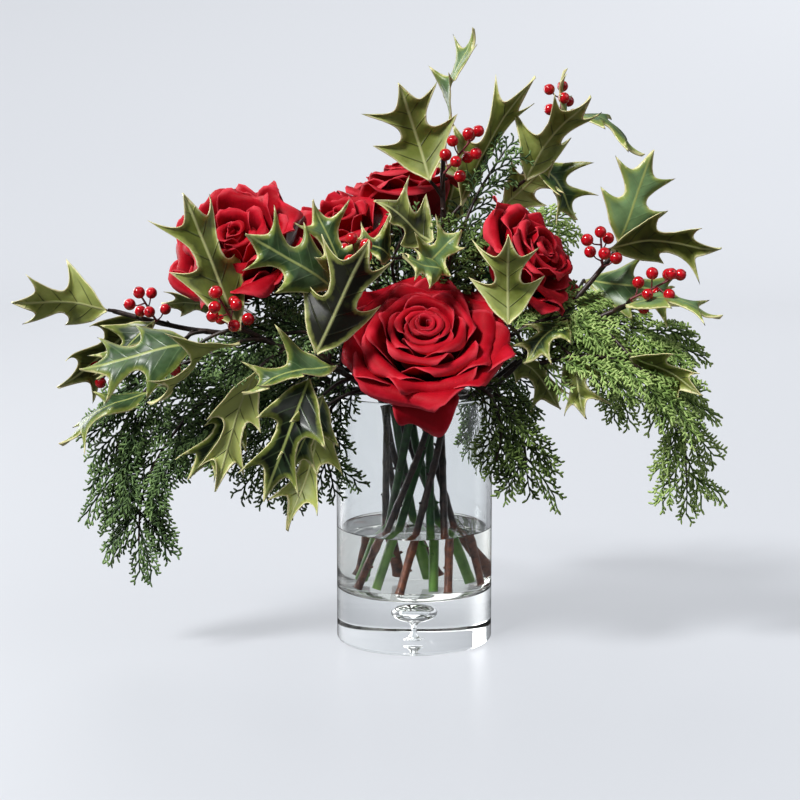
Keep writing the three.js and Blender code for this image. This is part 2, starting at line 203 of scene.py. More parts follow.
# ---- Vase ---------------------------------------------------------------------------------------
# Clear soda-lime glass, blown and fire polished: a straight cylinder with a thick base. An air
# bubble on a thin tail is blown into the base.
vase_radius, _, vase_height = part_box("glass_vase")[1]
vase_wall = 4.0 * MM
vase_floor = 42 * MM
inner_radius = vase_radius - vase_wall


def piece(name, bm, finishes, nodes=()):
    """Makes a bmesh a smooth named piece on the arrangement's one body, in place of CAD nodes."""
    mesh = bpy.data.meshes.new(name)
    bm.to_mesh(mesh)
    bm.free()
    for one in finishes:
        mesh.materials.append(one)
    mesh.polygons.foreach_set("use_smooth", [True] * len(mesh.polygons))
    made = bpy.data.objects.new(name, mesh)
    bpy.context.collection.objects.link(made)
    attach(made, "root")
    if nodes:
        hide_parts(*nodes)
    return made


def turned(bm, profile, steps=128):
    """Spins a section, (radius, height) points from axis to axis, into a closed body."""
    corners = [bm.verts.new((radius, 0, height)) for radius, height in profile]
    edges = [bm.edges.new(pair) for pair in zip(corners, corners[1:])]
    bmesh.ops.spin(
        bm,
        geom=corners + edges,
        cent=(0, 0, 0),
        axis=(0, 0, 1),
        angle=2 * math.pi,
        steps=steps,
        use_merge=True,
    )
    bmesh.ops.remove_doubles(bm, verts=bm.verts, dist=1e-6)
    bmesh.ops.recalc_face_normals(bm, faces=bm.faces)


def arc(centre, radius, start, end, count=6):
    """Points round part of a circle, in degrees."""
    angles = [math.radians(start + (end - start) * i / count) for i in range(count + 1)]
    return [(centre[0] + radius * math.cos(a), centre[1] + radius * math.sin(a)) for a in angles]


def clear_finish(name, ior, tint, apart, strength, swell):
    """A clear body with faint slow waves, their crests that far apart. Lamp and soft light go
    straight through it, so that its shade isn't black."""
    made, tree, shader = new_material(name, Roughness=0.0, IOR=ior, Transmission_Weight=1.0)
    shader.inputs["Base Color"].default_value = linear(tint)
    place = add(tree, "TexCoord")
    waves = add(
        tree, "TexNoise", {"Vector": place.outputs["Object"], "Scale": 1 / apart, "Detail": 1.0}
    )
    ripple = add(tree, "Bump", {"Height": waves, "Strength": strength, "Distance": swell})
    tree.links.new(ripple.outputs[0], shader.inputs["Normal"])
    path = add(tree, "LightPath")
    share = add(
        tree,
        "Math",
        {0: path.outputs["Is Shadow Ray"], 1: path.outputs["Is Diffuse Ray"]},
        operation="MAXIMUM",
    )
    open_air = add(tree, "BsdfTransparent")
    both = add(tree, "MixShader", {0: share, 1: shader, 2: open_air})
    output = next(node for node in tree.nodes if node.type == "OUTPUT_MATERIAL")
    tree.links.new(both.outputs[0], output.inputs["Surface"])
    return made


rim_round = vase_wall / 2
heel_round = 8 * MM  # inside, where the wall meets the floor
foot_round = 3 * MM
hold = 0.4 * MM  # a short straight beside each rounding, which keeps the long faces flat
BUBBLE_SECTION = [(0, 2.2), (5.6, 2.4), (6.2, 3.0), (3.6, 4.6), (2.0, 7.5), (1.5, 11), (1.6, 14.5)]
BUBBLE_SECTION += [(2.8, 17), (7.5, 18.6), (10.8, 20.8), (12.3, 23.4), (12.6, 25.8), (11.6, 28.4)]
BUBBLE_SECTION += [(9.2, 30.6), (5.4, 32.1), (0, 32.6)]
bm = bmesh.new()
turned(
    bm,
    [(0, 0), (vase_radius - foot_round - hold, 0)]
    + arc((vase_radius - foot_round, foot_round), foot_round, -90, 0)
    + [(vase_radius, foot_round + hold), (vase_radius, vase_height - rim_round - hold)]
    + arc((vase_radius - rim_round, vase_height - rim_round), rim_round, 0, 180, 8)
    + [(inner_radius, vase_height - rim_round - hold), (inner_radius, vase_floor + heel_round + hold)]
    + arc((inner_radius - heel_round, vase_floor + heel_round), heel_round, 0, -90)
    + [(inner_radius - heel_round - hold, vase_floor), (0, vase_floor)],
)
bubble = bmesh.new()
turned(bubble, [(radius * MM, height * MM) for radius, height in BUBBLE_SECTION], steps=64)
bmesh.ops.reverse_faces(bubble, faces=bubble.faces)
hollow = bpy.data.meshes.new("air_bubble")
bubble.to_mesh(hollow)
bubble.free()
bm.from_mesh(hollow)

# bright streaks and dark edges, and else clear, with the slow waviness of a blown wall
soda_glass = clear_finish(
    "soda_lime_glass", ior=1.5, tint="#fbfdfd", apart=30 * MM, strength=0.3, swell=0.5 * MM
)
piece("blown_vase", bm, [soda_glass], ["glass_vase"])

# ---- Water --------------------------------------------------------------------------------------
# Still tap water up to two fifths of the vase. It wets the wall, so it runs a hair into the glass
# and climbs a millimetre at the edge.
water_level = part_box("water")[1][2]
wetting = 0.15 * MM
climb = 1.2 * MM
wet_radius = inner_radius + wetting
bm = bmesh.new()
turned(
    bm,
    [(0, vase_floor - wetting), (inner_radius - heel_round - hold, vase_floor - wetting)]
    + arc((inner_radius - heel_round, vase_floor + heel_round), heel_round + wetting, -90, 0)
    + [(wet_radius, vase_floor + heel_round + hold), (wet_radius, water_level + climb - hold)]
    + [(wet_radius, water_level + climb), (inner_radius - 0.5 * MM, water_level + 0.45 * climb)]
    + [(inner_radius - 1.4 * MM, water_level + 0.1 * climb), (inner_radius - 2.4 * MM, water_level)]
    + [(inner_radius - 3.4 * MM, water_level), (0, water_level)],
)
# clear and faintly warm, with a mirror at its level
tap_water = clear_finish(
    "tap_water", ior=1.333, tint="#fbfaf5", apart=25 * MM, strength=0.2, swell=0.3 * MM
)
piece("still_water", bm, [tap_water], ["water"])

# ---- Rose stems ---------------------------------------------------------------------------------
# Smooth green stems, cut aslant, that cross in the vase and carry thorns and leaf scars. Each ends
# in a swollen green hip under its flower, with five narrow sepals folded back.
rose_stem_radius = 3.4
hip_radius = 6.5
hip_length = 11
waist = 150 * MM
foot = vase_floor + 5 * MM
rose_waist = 12.5 * MM
rose_foot = 0.58
sepals = 5


def above_rim(place):
    """A place in millimetres whose height is counted from the rim."""
    return Vector((place[0] * MM, place[1] * MM, vase_height + place[2] * MM))


def inside_vase(azimuth, waist_radius, foot_share):
    """A straight stem past the others: its cut end, its waist and its place in the mouth."""
    spread = math.sqrt((foot_share * inner_radius) ** 2 - waist_radius**2)
    lean = spread / (waist - foot)
    turn = math.radians(azimuth) - math.atan2(lean * (vase_height - waist), waist_radius)
    places = []
    for height in (foot, waist, vase_height):
        slide = lean * (height - waist)
        places.append(
            Vector(
                (
                    waist_radius * math.cos(turn) - slide * math.sin(turn),
                    waist_radius * math.sin(turn) + slide * math.cos(turn),
                    height,
                )
            )
        )
    return places


def over_rim(azimuth, radius, lift=0.0):
    """Where a rod of that radius, in millimetres, rests on the rim."""
    reach = (vase_radius - rim_round) / MM
    turn = math.radians(azimuth)
    return above_rim((reach * math.cos(turn), reach * math.sin(turn), radius + 0.8 + lift))


def smooth_route(points, step=5 * MM):
    """Places a step apart along one smooth curve through the points."""
    padded = [2 * points[0] - points[1], *points, 2 * points[-1] - points[-2]]
    route = []
    for a, b, c, d in zip(padded, padded[1:], padded[2:], padded[3:]):
        t1 = (b - a).length ** 0.5
        t2 = t1 + (c - b).length ** 0.5
        t3 = t2 + (d - c).length ** 0.5
        count = max(1, round((c - b).length / step))
        for i in range(count):
            t = t1 + (t2 - t1) * i / count
            p = a.lerp(b, t / t1)
            q = b.lerp(c, (t - t1) / (t2 - t1))
            r = c.lerp(d, (t - t2) / (t3 - t2))
            route.append(p.lerp(q, t / t2).lerp(q.lerp(r, (t - t1) / (t3 - t1)), (t - t1) / (t2 - t1)))
    route.append(points[-1].copy())
    return route


def square_to(way, turn):
    """A direction square to that way, turned round it."""
    out = way.orthogonal().normalized()
    out.rotate(Matrix.Rotation(turn, 3, way))
    return out


def strands(bm, lines, sides):
    """Round strands added to a bmesh: each line is a list of (place, radius in millimetres)."""
    curve = bpy.data.curves.new("strands", "CURVE")
    curve.dimensions = "3D"
    curve.bevel_depth = MM
    curve.bevel_resolution = max(0, sides // 2 - 2)
    curve.use_fill_caps = True
    for line in lines:
        spline = curve.splines.new("POLY")
        spline.points.add(len(line) - 1)
        for point, (place, radius) in zip(spline.points, line):
            point.co = (*place, 1)
            point.radius = radius
    made = bpy.data.objects.new("strands", curve)
    mesh = bpy.data.meshes.new_from_object(made)
    bm.from_mesh(mesh)
    bpy.data.objects.remove(made)
    bpy.data.curves.remove(curve)
    bpy.data.meshes.remove(mesh)


ROSES = [  # side of the bundle, where it leans over the rim, where the petals start, the way the
    # rose looks, and its radius and height
    ("rose_front", -90, -84, (7, -62, 28), (0, -0.66, 0.75), 62, 50),
    ("rose_right", -18, None, (66, -34, 94), (0.72, -0.42, 0.55), 48, 52),
    ("rose_top", 54, None, (-8, 38, 126), (-0.1, 0.1, 0.98), 46, 56),
    ("rose_left", 126, None, (-125, -40, 92), (-0.25, -0.6, 0.75), 58, 52),
    ("rose_centre", 198, None, (-54, 6, 102), (-0.15, -0.35, 0.92), 40, 46),
]


def lit_under_water(tree, place, patches, spots, tones_above_water, tones_lit_under_water):
    """A skin's colour: two tones that mix in patches, one pair above the water and one, lighter, under
    it: painted light, for the light that the water lets in.
    """
    height_of = add(tree, "SeparateXYZ", {"Vector": place.outputs["Object"]})
    bounds = {"From Min": water_level - 4 * MM, "From Max": water_level + 6 * MM}
    water_lit_share = add(
        tree, "MapRange", {"Value": height_of.outputs["Z"], "To Min": 1.0, "To Max": 0.0, **bounds}
    )
    above, under = (
        add(tree, "ValToRGB", {"Fac": patches}, tuple(zip(spots, pair))) for pair in (tones_above_water, tones_lit_under_water)
    )
    return add(tree, "Mix", {"Factor": water_lit_share, 6: above, 7: under}, data_type="RGBA")


# painted light: the stem is painted lime under the water, for the light that the water lets in
green_stem, tree, shader = new_material(  # a satin skin, dark above the water and lime under it
    "fresh_rose_stem", Roughness=0.36, Subsurface_Weight=0.08, Subsurface_Scale=2 * MM
)
place = add(tree, "TexCoord")
blotch = add(
    tree, "TexNoise", {"Vector": place.outputs["Object"], "Scale": 1 / (14 * MM), "Detail": 4.0}
)
stretch = add(tree, "Mapping", {"Vector": place.outputs["Object"], "Scale": (1.0, 1.0, 0.12)})
fibre = add(  # the lengthwise fibres of the skin, about 0.8 mm apart
    tree, "TexNoise", {"Vector": stretch, "Scale": 1 / (0.8 * MM), "Detail": 2.0}
)
skin = lit_under_water(tree, place, blotch, (0.32, 0.7), ("#1b4520", "#3f7d3a"), ("#57962e", "#8cc252"))
ridge = add(tree, "Bump", {"Height": fibre, "Strength": 0.4, "Distance": 0.15 * MM})
tree.links.new(skin.outputs[2], shader.inputs["Base Color"])
tree.links.new(ridge.outputs[0], shader.inputs["Normal"])

for name, azimuth, leans_over, seat, faces, size, height in ROSES:
    rng = random.Random(name)
    axis = Vector(faces).normalized()
    neck = above_rim(seat)
    hip_base = neck - hip_length * MM * axis
    points = inside_vase(azimuth, rose_waist, rose_foot)
    if leans_over is not None:
        points.append(over_rim(leans_over, rose_stem_radius, 1))
    points.append(hip_base)
    route = smooth_route(points)
    swell = [1 + 0.05 * noise.noise(p * 60) for p in route]
    lines = [[(p, rose_stem_radius * s) for p, s in zip(route, swell)]]
    lines[0] += [
        (hip_base + hip_length * MM * share * axis, radius)
        for share, radius in ((0.25, 4.6), (0.5, 6.0), (0.75, hip_radius), (0.97, 5.6))
    ]
    for i in range(6, len(route) - 4, 7):  # thorns, with the broad foot that a rose's has
        along = (route[i + 1] - route[i]).normalized()
        out = square_to(along, rng.uniform(0, 2 * math.pi))
        start = route[i] + out * rose_stem_radius * 0.6 * MM
        lines.append(
            [
                (start - along * 2.5 * MM, 1.0),
                (start + out * 1.4 * MM, 1.7),
                (start + out * 3.4 * MM - along * 1.2 * MM, 0.25),
            ]
        )
    for k in range(sepals):
        out = square_to(axis, 2 * math.pi * k / sepals)
        base = neck - axis * 2 * MM + out * 4 * MM
        lines.append(
            [
                (base, 2.6),
                (base + out * 7 * MM - axis * 1 * MM, 2.2),
                (base + out * 14 * MM - axis * 6 * MM, 1.3),
                (base + out * 18 * MM - axis * 13 * MM, 0.3),
            ]
        )
    bm = bmesh.new()
    strands(bm, lines, sides=14)
    piece(name + "_green_stem", bm, [green_stem], [name + "_stem"])

# ---- Woody branches -----------------------------------------------------------------------------
# Cut branches of holly and cypress with dark brown bark, painted lighter and redder under water for the
# light in it: their ways through the vase and over its rim. They are made once the leaves and berries
# have said where twigs end.
wood_radius = 2.8
wood_waist = 23 * MM
wood_foot = 0.8
# side of the bundle, where it leans over the rim, its way on from the mouth, and a fork's way
BRANCHES = {
    "holly_branch_left_front": (225, 245, [(-70, -86, 36), (-114, -93, 53), (-155, -100, 80)], []),
    "holly_branch_far_left": (180, 172, [(-110, -14, 42), (-185, -26, 56), (-240, -22, 69)], []),
    "holly_branch_top": (
        45,
        None,
        [(27, 8, 60), (24, -12, 120), (22, -18, 168), (24, -6, 214)],
        [(27, 0, 82), (64, 4, 142), (97, 16, 190), (120, 36, 228)],
    ),
    "holly_branch_right": (
        0,
        -28,
        [(100, -52, 52), (132, -48, 88), (158, -38, 118)],
        [(92, -50, 44), (140, -58, 66), (172, -62, 80)],
    ),
    "holly_branch_back": (
        135,
        112,
        [(-32, 86, 48), (-46, 126, 78), (-62, 150, 96)],
        [(-32, 84, 44), (26, 118, 74), (78, 150, 90)],
    ),
    "cypress_branch_left": (202, 200, [(-96, -40, 24)], []),
    "cypress_branch_right": (-45, -48, [(84, -66, 38)], []),
    "cypress_branch_back": (90, 78, [(34, 96, 36)], []),
}

# nearly black and half glossy above the water, and red-brown under it: painted light, for the light
# that the water lets in
bark, tree, shader = new_material("dark_twig_bark", Roughness=0.45)
place = add(tree, "TexCoord")
patch = add(
    tree,
    "TexNoise",
    {"Vector": place.outputs["Object"], "Scale": 1 / (6 * MM), "Detail": 6.0, "Roughness": 0.65},
)
tone = lit_under_water(tree, place, patch, (0.35, 0.72), ("#120c0b", "#4a352f"), ("#4a2011", "#a05a36"))
grain = add(tree, "Bump", {"Height": patch, "Strength": 0.8, "Distance": 0.5 * MM})
tree.links.new(tone.outputs[2], shader.inputs["Base Color"])
tree.links.new(grain.outputs[0], shader.inputs["Normal"])

wood_routes = {}
for name, (azimuth, leans_over, main, fork) in BRANCHES.items():
    points = inside_vase(azimuth, wood_waist, wood_foot)
    if leans_over is not None:
        points.append(over_rim(leans_over, wood_radius))
    points += [above_rim(p) for p in main]
    wood_routes[name] = [smooth_route(points)]
    if fork:
        wood_routes[name].append(smooth_route([above_rim(p) for p in fork]))


def twig_to(target, back=22 * MM):
    """A twig's places from the nearest holly branch, a little further back, to a target."""
    best = None
    for name, routes in wood_routes.items():
        if not name.startswith("holly"):
            continue
        for route in routes:
            for i, place in enumerate(route):
                if place.z > vase_height and (best is None or (place - target).length < best[0]):
                    best = ((place - target).length, name, route, i)
    gap, name, route, i = best
    start = route[max(0, i - round(min(back, gap) / (5 * MM)))]
    bend = start.lerp(target, 0.5) + Vector((0, 0, 0.08 * gap))
    return name, [start, bend, target]


# ---- Holly leaves -------------------------------------------------------------------------------
# Leathery variegated holly: blue-green above with a thin cream margin, yellow-olive below with side
# veins that are painted almost black, as the shade in their creases. The blade is folded along its
# midrib, and its long spines turn up and down.
leaf_thickness = 0.6 * MM
leaf_fullness = 1.12
leaf_tip_curl = 6.0
LEAF_ROWS = 12
# Along one side: the place on the midrib, then the outline's own place and reach from the midrib,
# all as shares, of the length and of the half width. A spine is where the outline turns back.
LEAF_SIDE = [
    [(0.0, 0.0, 0.03), (0.05, 0.04, 0.1), (0.12, 0.12, 0.3), (0.19, 0.2, 0.46), (0.26, 0.3, 0.6)]
    + [(0.32, 0.4, 0.79), (0.36, 0.5, 1.0)],
    [(0.36, 0.5, 1.0), (0.4, 0.455, 0.66), (0.44, 0.45, 0.44), (0.48, 0.48, 0.34)]
    + [(0.53, 0.54, 0.31), (0.58, 0.62, 0.38), (0.63, 0.71, 0.55), (0.67, 0.79, 0.76)]
    + [(0.7, 0.87, 0.98)],
    [(0.7, 0.87, 0.98), (0.73, 0.8, 0.62), (0.76, 0.78, 0.38), (0.8, 0.8, 0.26)]
    + [(0.85, 0.85, 0.18), (0.91, 0.91, 0.11), (0.96, 0.96, 0.055), (1.0, 1.0, 0.01)],
]

# base and tip (mm, above the rim), the way the upper side looks, width, bow, twist, tone; the tone is
# partly the leaf's own and partly painted light and shade, low for a leaf in shade and high for a lit
# one
LEAVES = {
    "far_left": ((-244, -24, 70), (-318, -32, 76), (0.1, 0.9, 0.3), 56, 0.1, 10, 0.7),
    "left_dark": ((-212, -8, 60), (-284, -14, 4), (0, 0.85, 0.5), 62, 0.1, -20, 0.1),
    "left_front": ((-166, -96, 50), (-250, -98, 28), (-0.1, -0.8, 0.6), 66, 0.1, 10, 0.5),
    "left_upright": ((-132, -110, 62), (-170, -112, 164), (-0.3, 0.95, 0), 62, 0.06, 15, 0.2),
    # hanging_pale's high tone is painted light: the leaf hangs in the flowers' shade
    "hanging_pale": ((-120, -108, 32), (-150, -118, -58), (-0.3, 0.9, 0.1), 46, 0.1, 10, 1.3),
    "hanging_dark": ((-80, -104, 26), (-114, -126, -64), (0.1, -0.9, 0.3), 58, 0.1, -15, -0.1),
    "hanging_back": ((-72, -76, -2), (-100, -82, -96), (0.3, 0.9, 0), 50, 0.1, 20, 0.7),
    # centre_dark's low tone is painted shade: the leaf faces away from the key light
    "centre_dark": ((-74, -122, 46), (-34, -138, 130), (-0.2, 0.95, -0.3), 70, 0.04, 15, -0.3),
    "centre_left": ((-62, -92, 92), (-126, -122, 134), (0, -0.9, 0.4), 58, 0.1, -10, 0.5),
    "centre_top": ((14, -58, 126), (-26, -72, 160), (0, 0.8, -0.6), 58, 0.1, 25, 0.0),
    "centre_right": ((70, -104, 66), (69, -112, 132), (0, 0.95, 0.3), 56, 0.1, 0, 0.6),
    "top_left": ((12, -26, 172), (-12, -34, 246), (0, 0.95, 0.2), 66, 0.1, 15, 0.5),
    "top_tall": ((27, -6, 219), (48, -4, 290), (-0.95, -0.25, 0.1), 40, 0.06, 40, 0.7),
    "top_long": ((36, -16, 152), (96, -18, 250), (-0.6, 0.75, 0.2), 46, 0.1, -15, 0.4),
    "top_right": ((88, -4, 172), (138, -24, 236), (-0.4, 0.9, 0.2), 56, 0.1, 10, 0.6),
    "top_drooping": ((128, 44, 226), (186, 40, 190), (0.3, -0.2, 0.9), 48, 0.12, 10, 0.6),
    "right_upright": ((160, -34, 124), (184, -32, 194), (0.2, -0.95, 0.2), 56, 0.08, 0, 1.0),
    "right_dark": ((152, -42, 120), (237, -50, 118), (0.1, 0.75, 0.6), 60, 0.1, 0, 0.15),
    "right_blue": ((134, -26, 94), (216, -34, 74), (0.1, -0.75, 0.65), 56, 0.08, 10, 0.6),
    "right_low": ((162, -70, 78), (233, -82, 68), (0.1, -0.3, 0.95), 50, 0.12, -15, 0.9),
    "back_left": ((-66, 154, 98), (-126, 186, 110), (-0.2, 0.5, 0.85), 54, 0.1, 0, 0.5),
    "back_right": ((82, 154, 92), (134, 184, 78), (0.2, 0.5, 0.85), 54, 0.1, 0, 0.5),
}
# Smaller leaves that fill in round the flowers.
FILLERS = {
    "left_folded": ((-132, -112, 54), (-196, -122, 6), (-0.75, 0.2, 0.6), 50, 0.08, 10, 0.9),
    "left_low": ((-208, -50, 8), (-276, -60, -34), (-0.3, -0.5, 0.8), 44, 0.1, 30, 0.4),
    "left_mid": ((-206, -30, 62), (-246, -34, 14), (-0.5, -0.7, 0.5), 44, 0.1, 30, 0.2),
    "under_left": ((-132, -70, 10), (-176, -74, -56), (0.5, -0.7, 0.3), 42, 0.1, 20, 0.1),
    "front_left": ((-60, -98, 34), (-128, -120, 14), (0.1, -0.6, 0.8), 46, 0.1, 20, 0.6),
    "front_low": ((-70, -100, 12), (-96, -116, -44), (0.4, -0.85, 0.3), 44, 0.1, -20, 0.1),
    "centre_blue": ((-52, -84, 92), (-78, -90, 158), (0.2, -0.9, 0.2), 42, 0.08, 10, 0.5),
    "centre_small": ((22, -72, 104), (-10, -92, 112), (0.2, -0.7, 0.7), 44, 0.1, 30, 0.7),
    "centre_high": ((2, -58, 102), (36, -70, 134), (0.1, -0.9, 0.3), 44, 0.1, -20, 0.8),
    "centre_deep": ((-18, -40, 112), (-50, -52, 128), (0.2, -0.8, 0.5), 44, 0.1, 20, 0.1),
    "top_low": ((70, 0, 150), (112, 4, 186), (0.2, 0.9, 0.3), 48, 0.1, 10, 0.8),
    "top_side": ((98, 16, 186), (130, 20, 140), (0.5, -0.7, 0.3), 48, 0.1, 20, 0.3),
    "top_spray": ((122, 40, 222), (118, 44, 258), (0.9, -0.3, 0.2), 22, 0.1, 20, 0.8),
    "right_under": ((118, -62, 66), (84, -94, 34), (-0.3, -0.7, 0.6), 44, 0.1, 10, 0.2),
    "right_mid": ((120, -84, 40), (128, -92, -6), (0.2, 0.8, 0.4), 40, 0.1, 10, 0.3),
    "right_tip": ((164, -84, 40), (218, -92, 10), (0.1, 0.8, 0.5), 42, 0.1, -20, 0.2),
    "back_mid": ((-10, 108, 64), (-4, 160, 52), (0, 0.5, 0.85), 52, 0.12, 0, 0.4),
    "back_up": ((-30, 92, 92), (-36, 104, 158), (0, 0.95, 0.2), 56, 0.08, 10, 0.6),
    "back_high": ((24, 60, 130), (40, 74, 196), (0.2, 0.95, 0.2), 56, 0.08, 10, 0.4),
    "back_down_left": ((-70, 92, 26), (-106, 122, -34), (-0.3, 0.85, 0.4), 52, 0.1, 10, 0.5),
    "back_down_right": ((84, 84, 22), (128, 112, -30), (0.4, 0.8, 0.4), 52, 0.1, -10, 0.4),
    "back_far_right": ((132, 60, 70), (196, 84, 62), (0.3, 0.6, 0.7), 52, 0.1, 10, 0.5),
    "back_far_left": ((-146, 50, 66), (-212, 70, 62), (-0.3, 0.6, 0.7), 52, 0.1, 10, 0.5),
}


def holly_finish(name, tones, band, margin, vein, vein_spacing, vein_depth, rib, roughness, relief):
    """One side of a holly leaf: a mottled blade, side veins, the midrib, a lime band and a cream
    margin. Veins lie a share of the leaf's length apart."""
    made, tree, shader = new_material(
        name,
        Roughness=roughness,
        Specular_IOR_Level=0.4,
        Subsurface_Weight=0.05,
        Subsurface_Scale=1.5 * MM,
    )
    place = add(tree, "TexCoord")
    across_along = add(tree, "SeparateXYZ", {"Vector": place.outputs["UV"]})
    centred = add(tree, "Math", {0: across_along.outputs["X"], 1: 0.5}, operation="SUBTRACT")
    from_rib = add(tree, "Math", {0: centred}, operation="ABSOLUTE")
    # the tone lightens or darkens the blade: partly the leaf's own, partly painted light and shade
    tone = add(tree, "Attribute", attribute_name="tone")
    mottle = add(
        tree, "TexNoise", {"Vector": place.outputs["Object"], "Scale": 1 / (14 * MM), "Detail": 4.0}
    )
    depth = add(tree, "Math", {0: mottle, 1: 1.0, 2: tone.outputs["Fac"]}, operation="MULTIPLY_ADD")
    spread = add(tree, "MapRange", {"Value": depth, "From Min": 0.3, "From Max": 1.6})
    blade = add(tree, "ValToRGB", {"Fac": spread}, tuple(zip((0, 0.5, 1), tones)))
    row = add(  # side veins leave the midrib aslant
        tree, "Math", {0: from_rib, 1: -0.6, 2: across_along.outputs["Y"]}, operation="MULTIPLY_ADD"
    )
    zigzag = add(tree, "Math", {0: row, 1: vein_spacing / 2}, operation="PINGPONG")
    side_vein = add(
        tree, "MapRange", {"Value": zigzag, "From Max": 0.011, "To Min": 1.0, "To Max": 0.0}
    )
    short = add(  # and fade out before they reach the margin
        tree,
        "MapRange",
        {"Value": from_rib, "From Min": 0.22, "From Max": 0.36, "To Min": 1.0, "To Max": 0.0},
    )
    side_vein = add(tree, "Math", {0: side_vein, 1: short}, operation="MULTIPLY")
    midrib = add(
        tree,
        "MapRange",
        {"Value": from_rib, "From Min": 0.006, "From Max": 0.024, "To Min": 1.0, "To Max": 0.0},
    )
    edge = add(tree, "Attribute", attribute_name="margin")
    ragged = add(
        tree, "TexNoise", {"Vector": place.outputs["Object"], "Scale": 1 / (4 * MM), "Detail": 3.0}
    )
    inward = add(  # millimetres from the edge, less a ragged millimetre or two
        tree, "Math", {0: ragged, 1: -2.6, 2: edge.outputs["Fac"]}, operation="MULTIPLY_ADD"
    )
    lime = add(
        tree,
        "MapRange",
        {"Value": inward, "From Min": 0.2, "From Max": 3.4, "To Min": 0.85, "To Max": 0.0},
    )
    cream = add(
        tree,
        "MapRange",
        {"Value": inward, "From Min": -0.5, "From Max": 0.3, "To Min": 1.0, "To Max": 0.0},
    )
    faint = add(tree, "Math", {0: side_vein, 1: vein_depth}, operation="MULTIPLY")
    colour = blade
    for share, hex_colour in ((faint, vein), (lime, band), (midrib, rib), (cream, margin)):
        colour = add(
            tree, "Mix", {"Factor": share, 6: colour, 7: linear(hex_colour)}, data_type="RGBA"
        ).outputs[2]
    ridges = add(tree, "Math", {0: side_vein, 1: midrib}, operation="MAXIMUM")
    rough = add(tree, "Math", {0: ragged, 1: 0.35, 2: ridges}, operation="MULTIPLY_ADD")
    bump = add(tree, "Bump", {"Height": rough, "Strength": relief, "Distance": 0.5 * MM})
    tree.links.new(colour, shader.inputs["Base Color"])
    tree.links.new(bump.outputs[0], shader.inputs["Normal"])
    return made


waxy_top = holly_finish(  # a satin cuticle that takes soft grey-green highlights
    "waxy_holly_upper",
    tones=("#0b120a", "#36502c", "#7d9c68"),
    band="#8f9c44",
    margin="#e0dba0",
    vein="#7c9464",
    vein_spacing=0.12,
    vein_depth=0.35,
    rib="#a9b56a",
    roughness=0.36,
    relief=0.25,
)
# painted shade: the creases of the side veins are painted almost black
matt_under = holly_finish(  # duller, with creases that read almost black
    "matt_holly_under",
    tones=("#17190a", "#6f7a2c", "#b0b96c"),
    band="#a9b15c",
    margin="#e2dcaa",
    vein="#262b08",
    vein_spacing=0.17,
    vein_depth=0.85,
    rib="#b9bd80",
    roughness=0.5,
    relief=0.7,
)


def along_run(run, t):
    """A place along a smooth run of values, with t from 0 to 1."""
    at = min(t, 0.9999) * (len(run) - 1)
    i = int(at)
    f = at - i
    a, b, c, d = (Vector(run[max(0, min(len(run) - 1, i + k))]) for k in (-1, 0, 1, 2))
    return b + 0.5 * f * (c - a + f * (2 * a - 5 * b + 4 * c - d + f * (3 * (b - c) + d - a)))


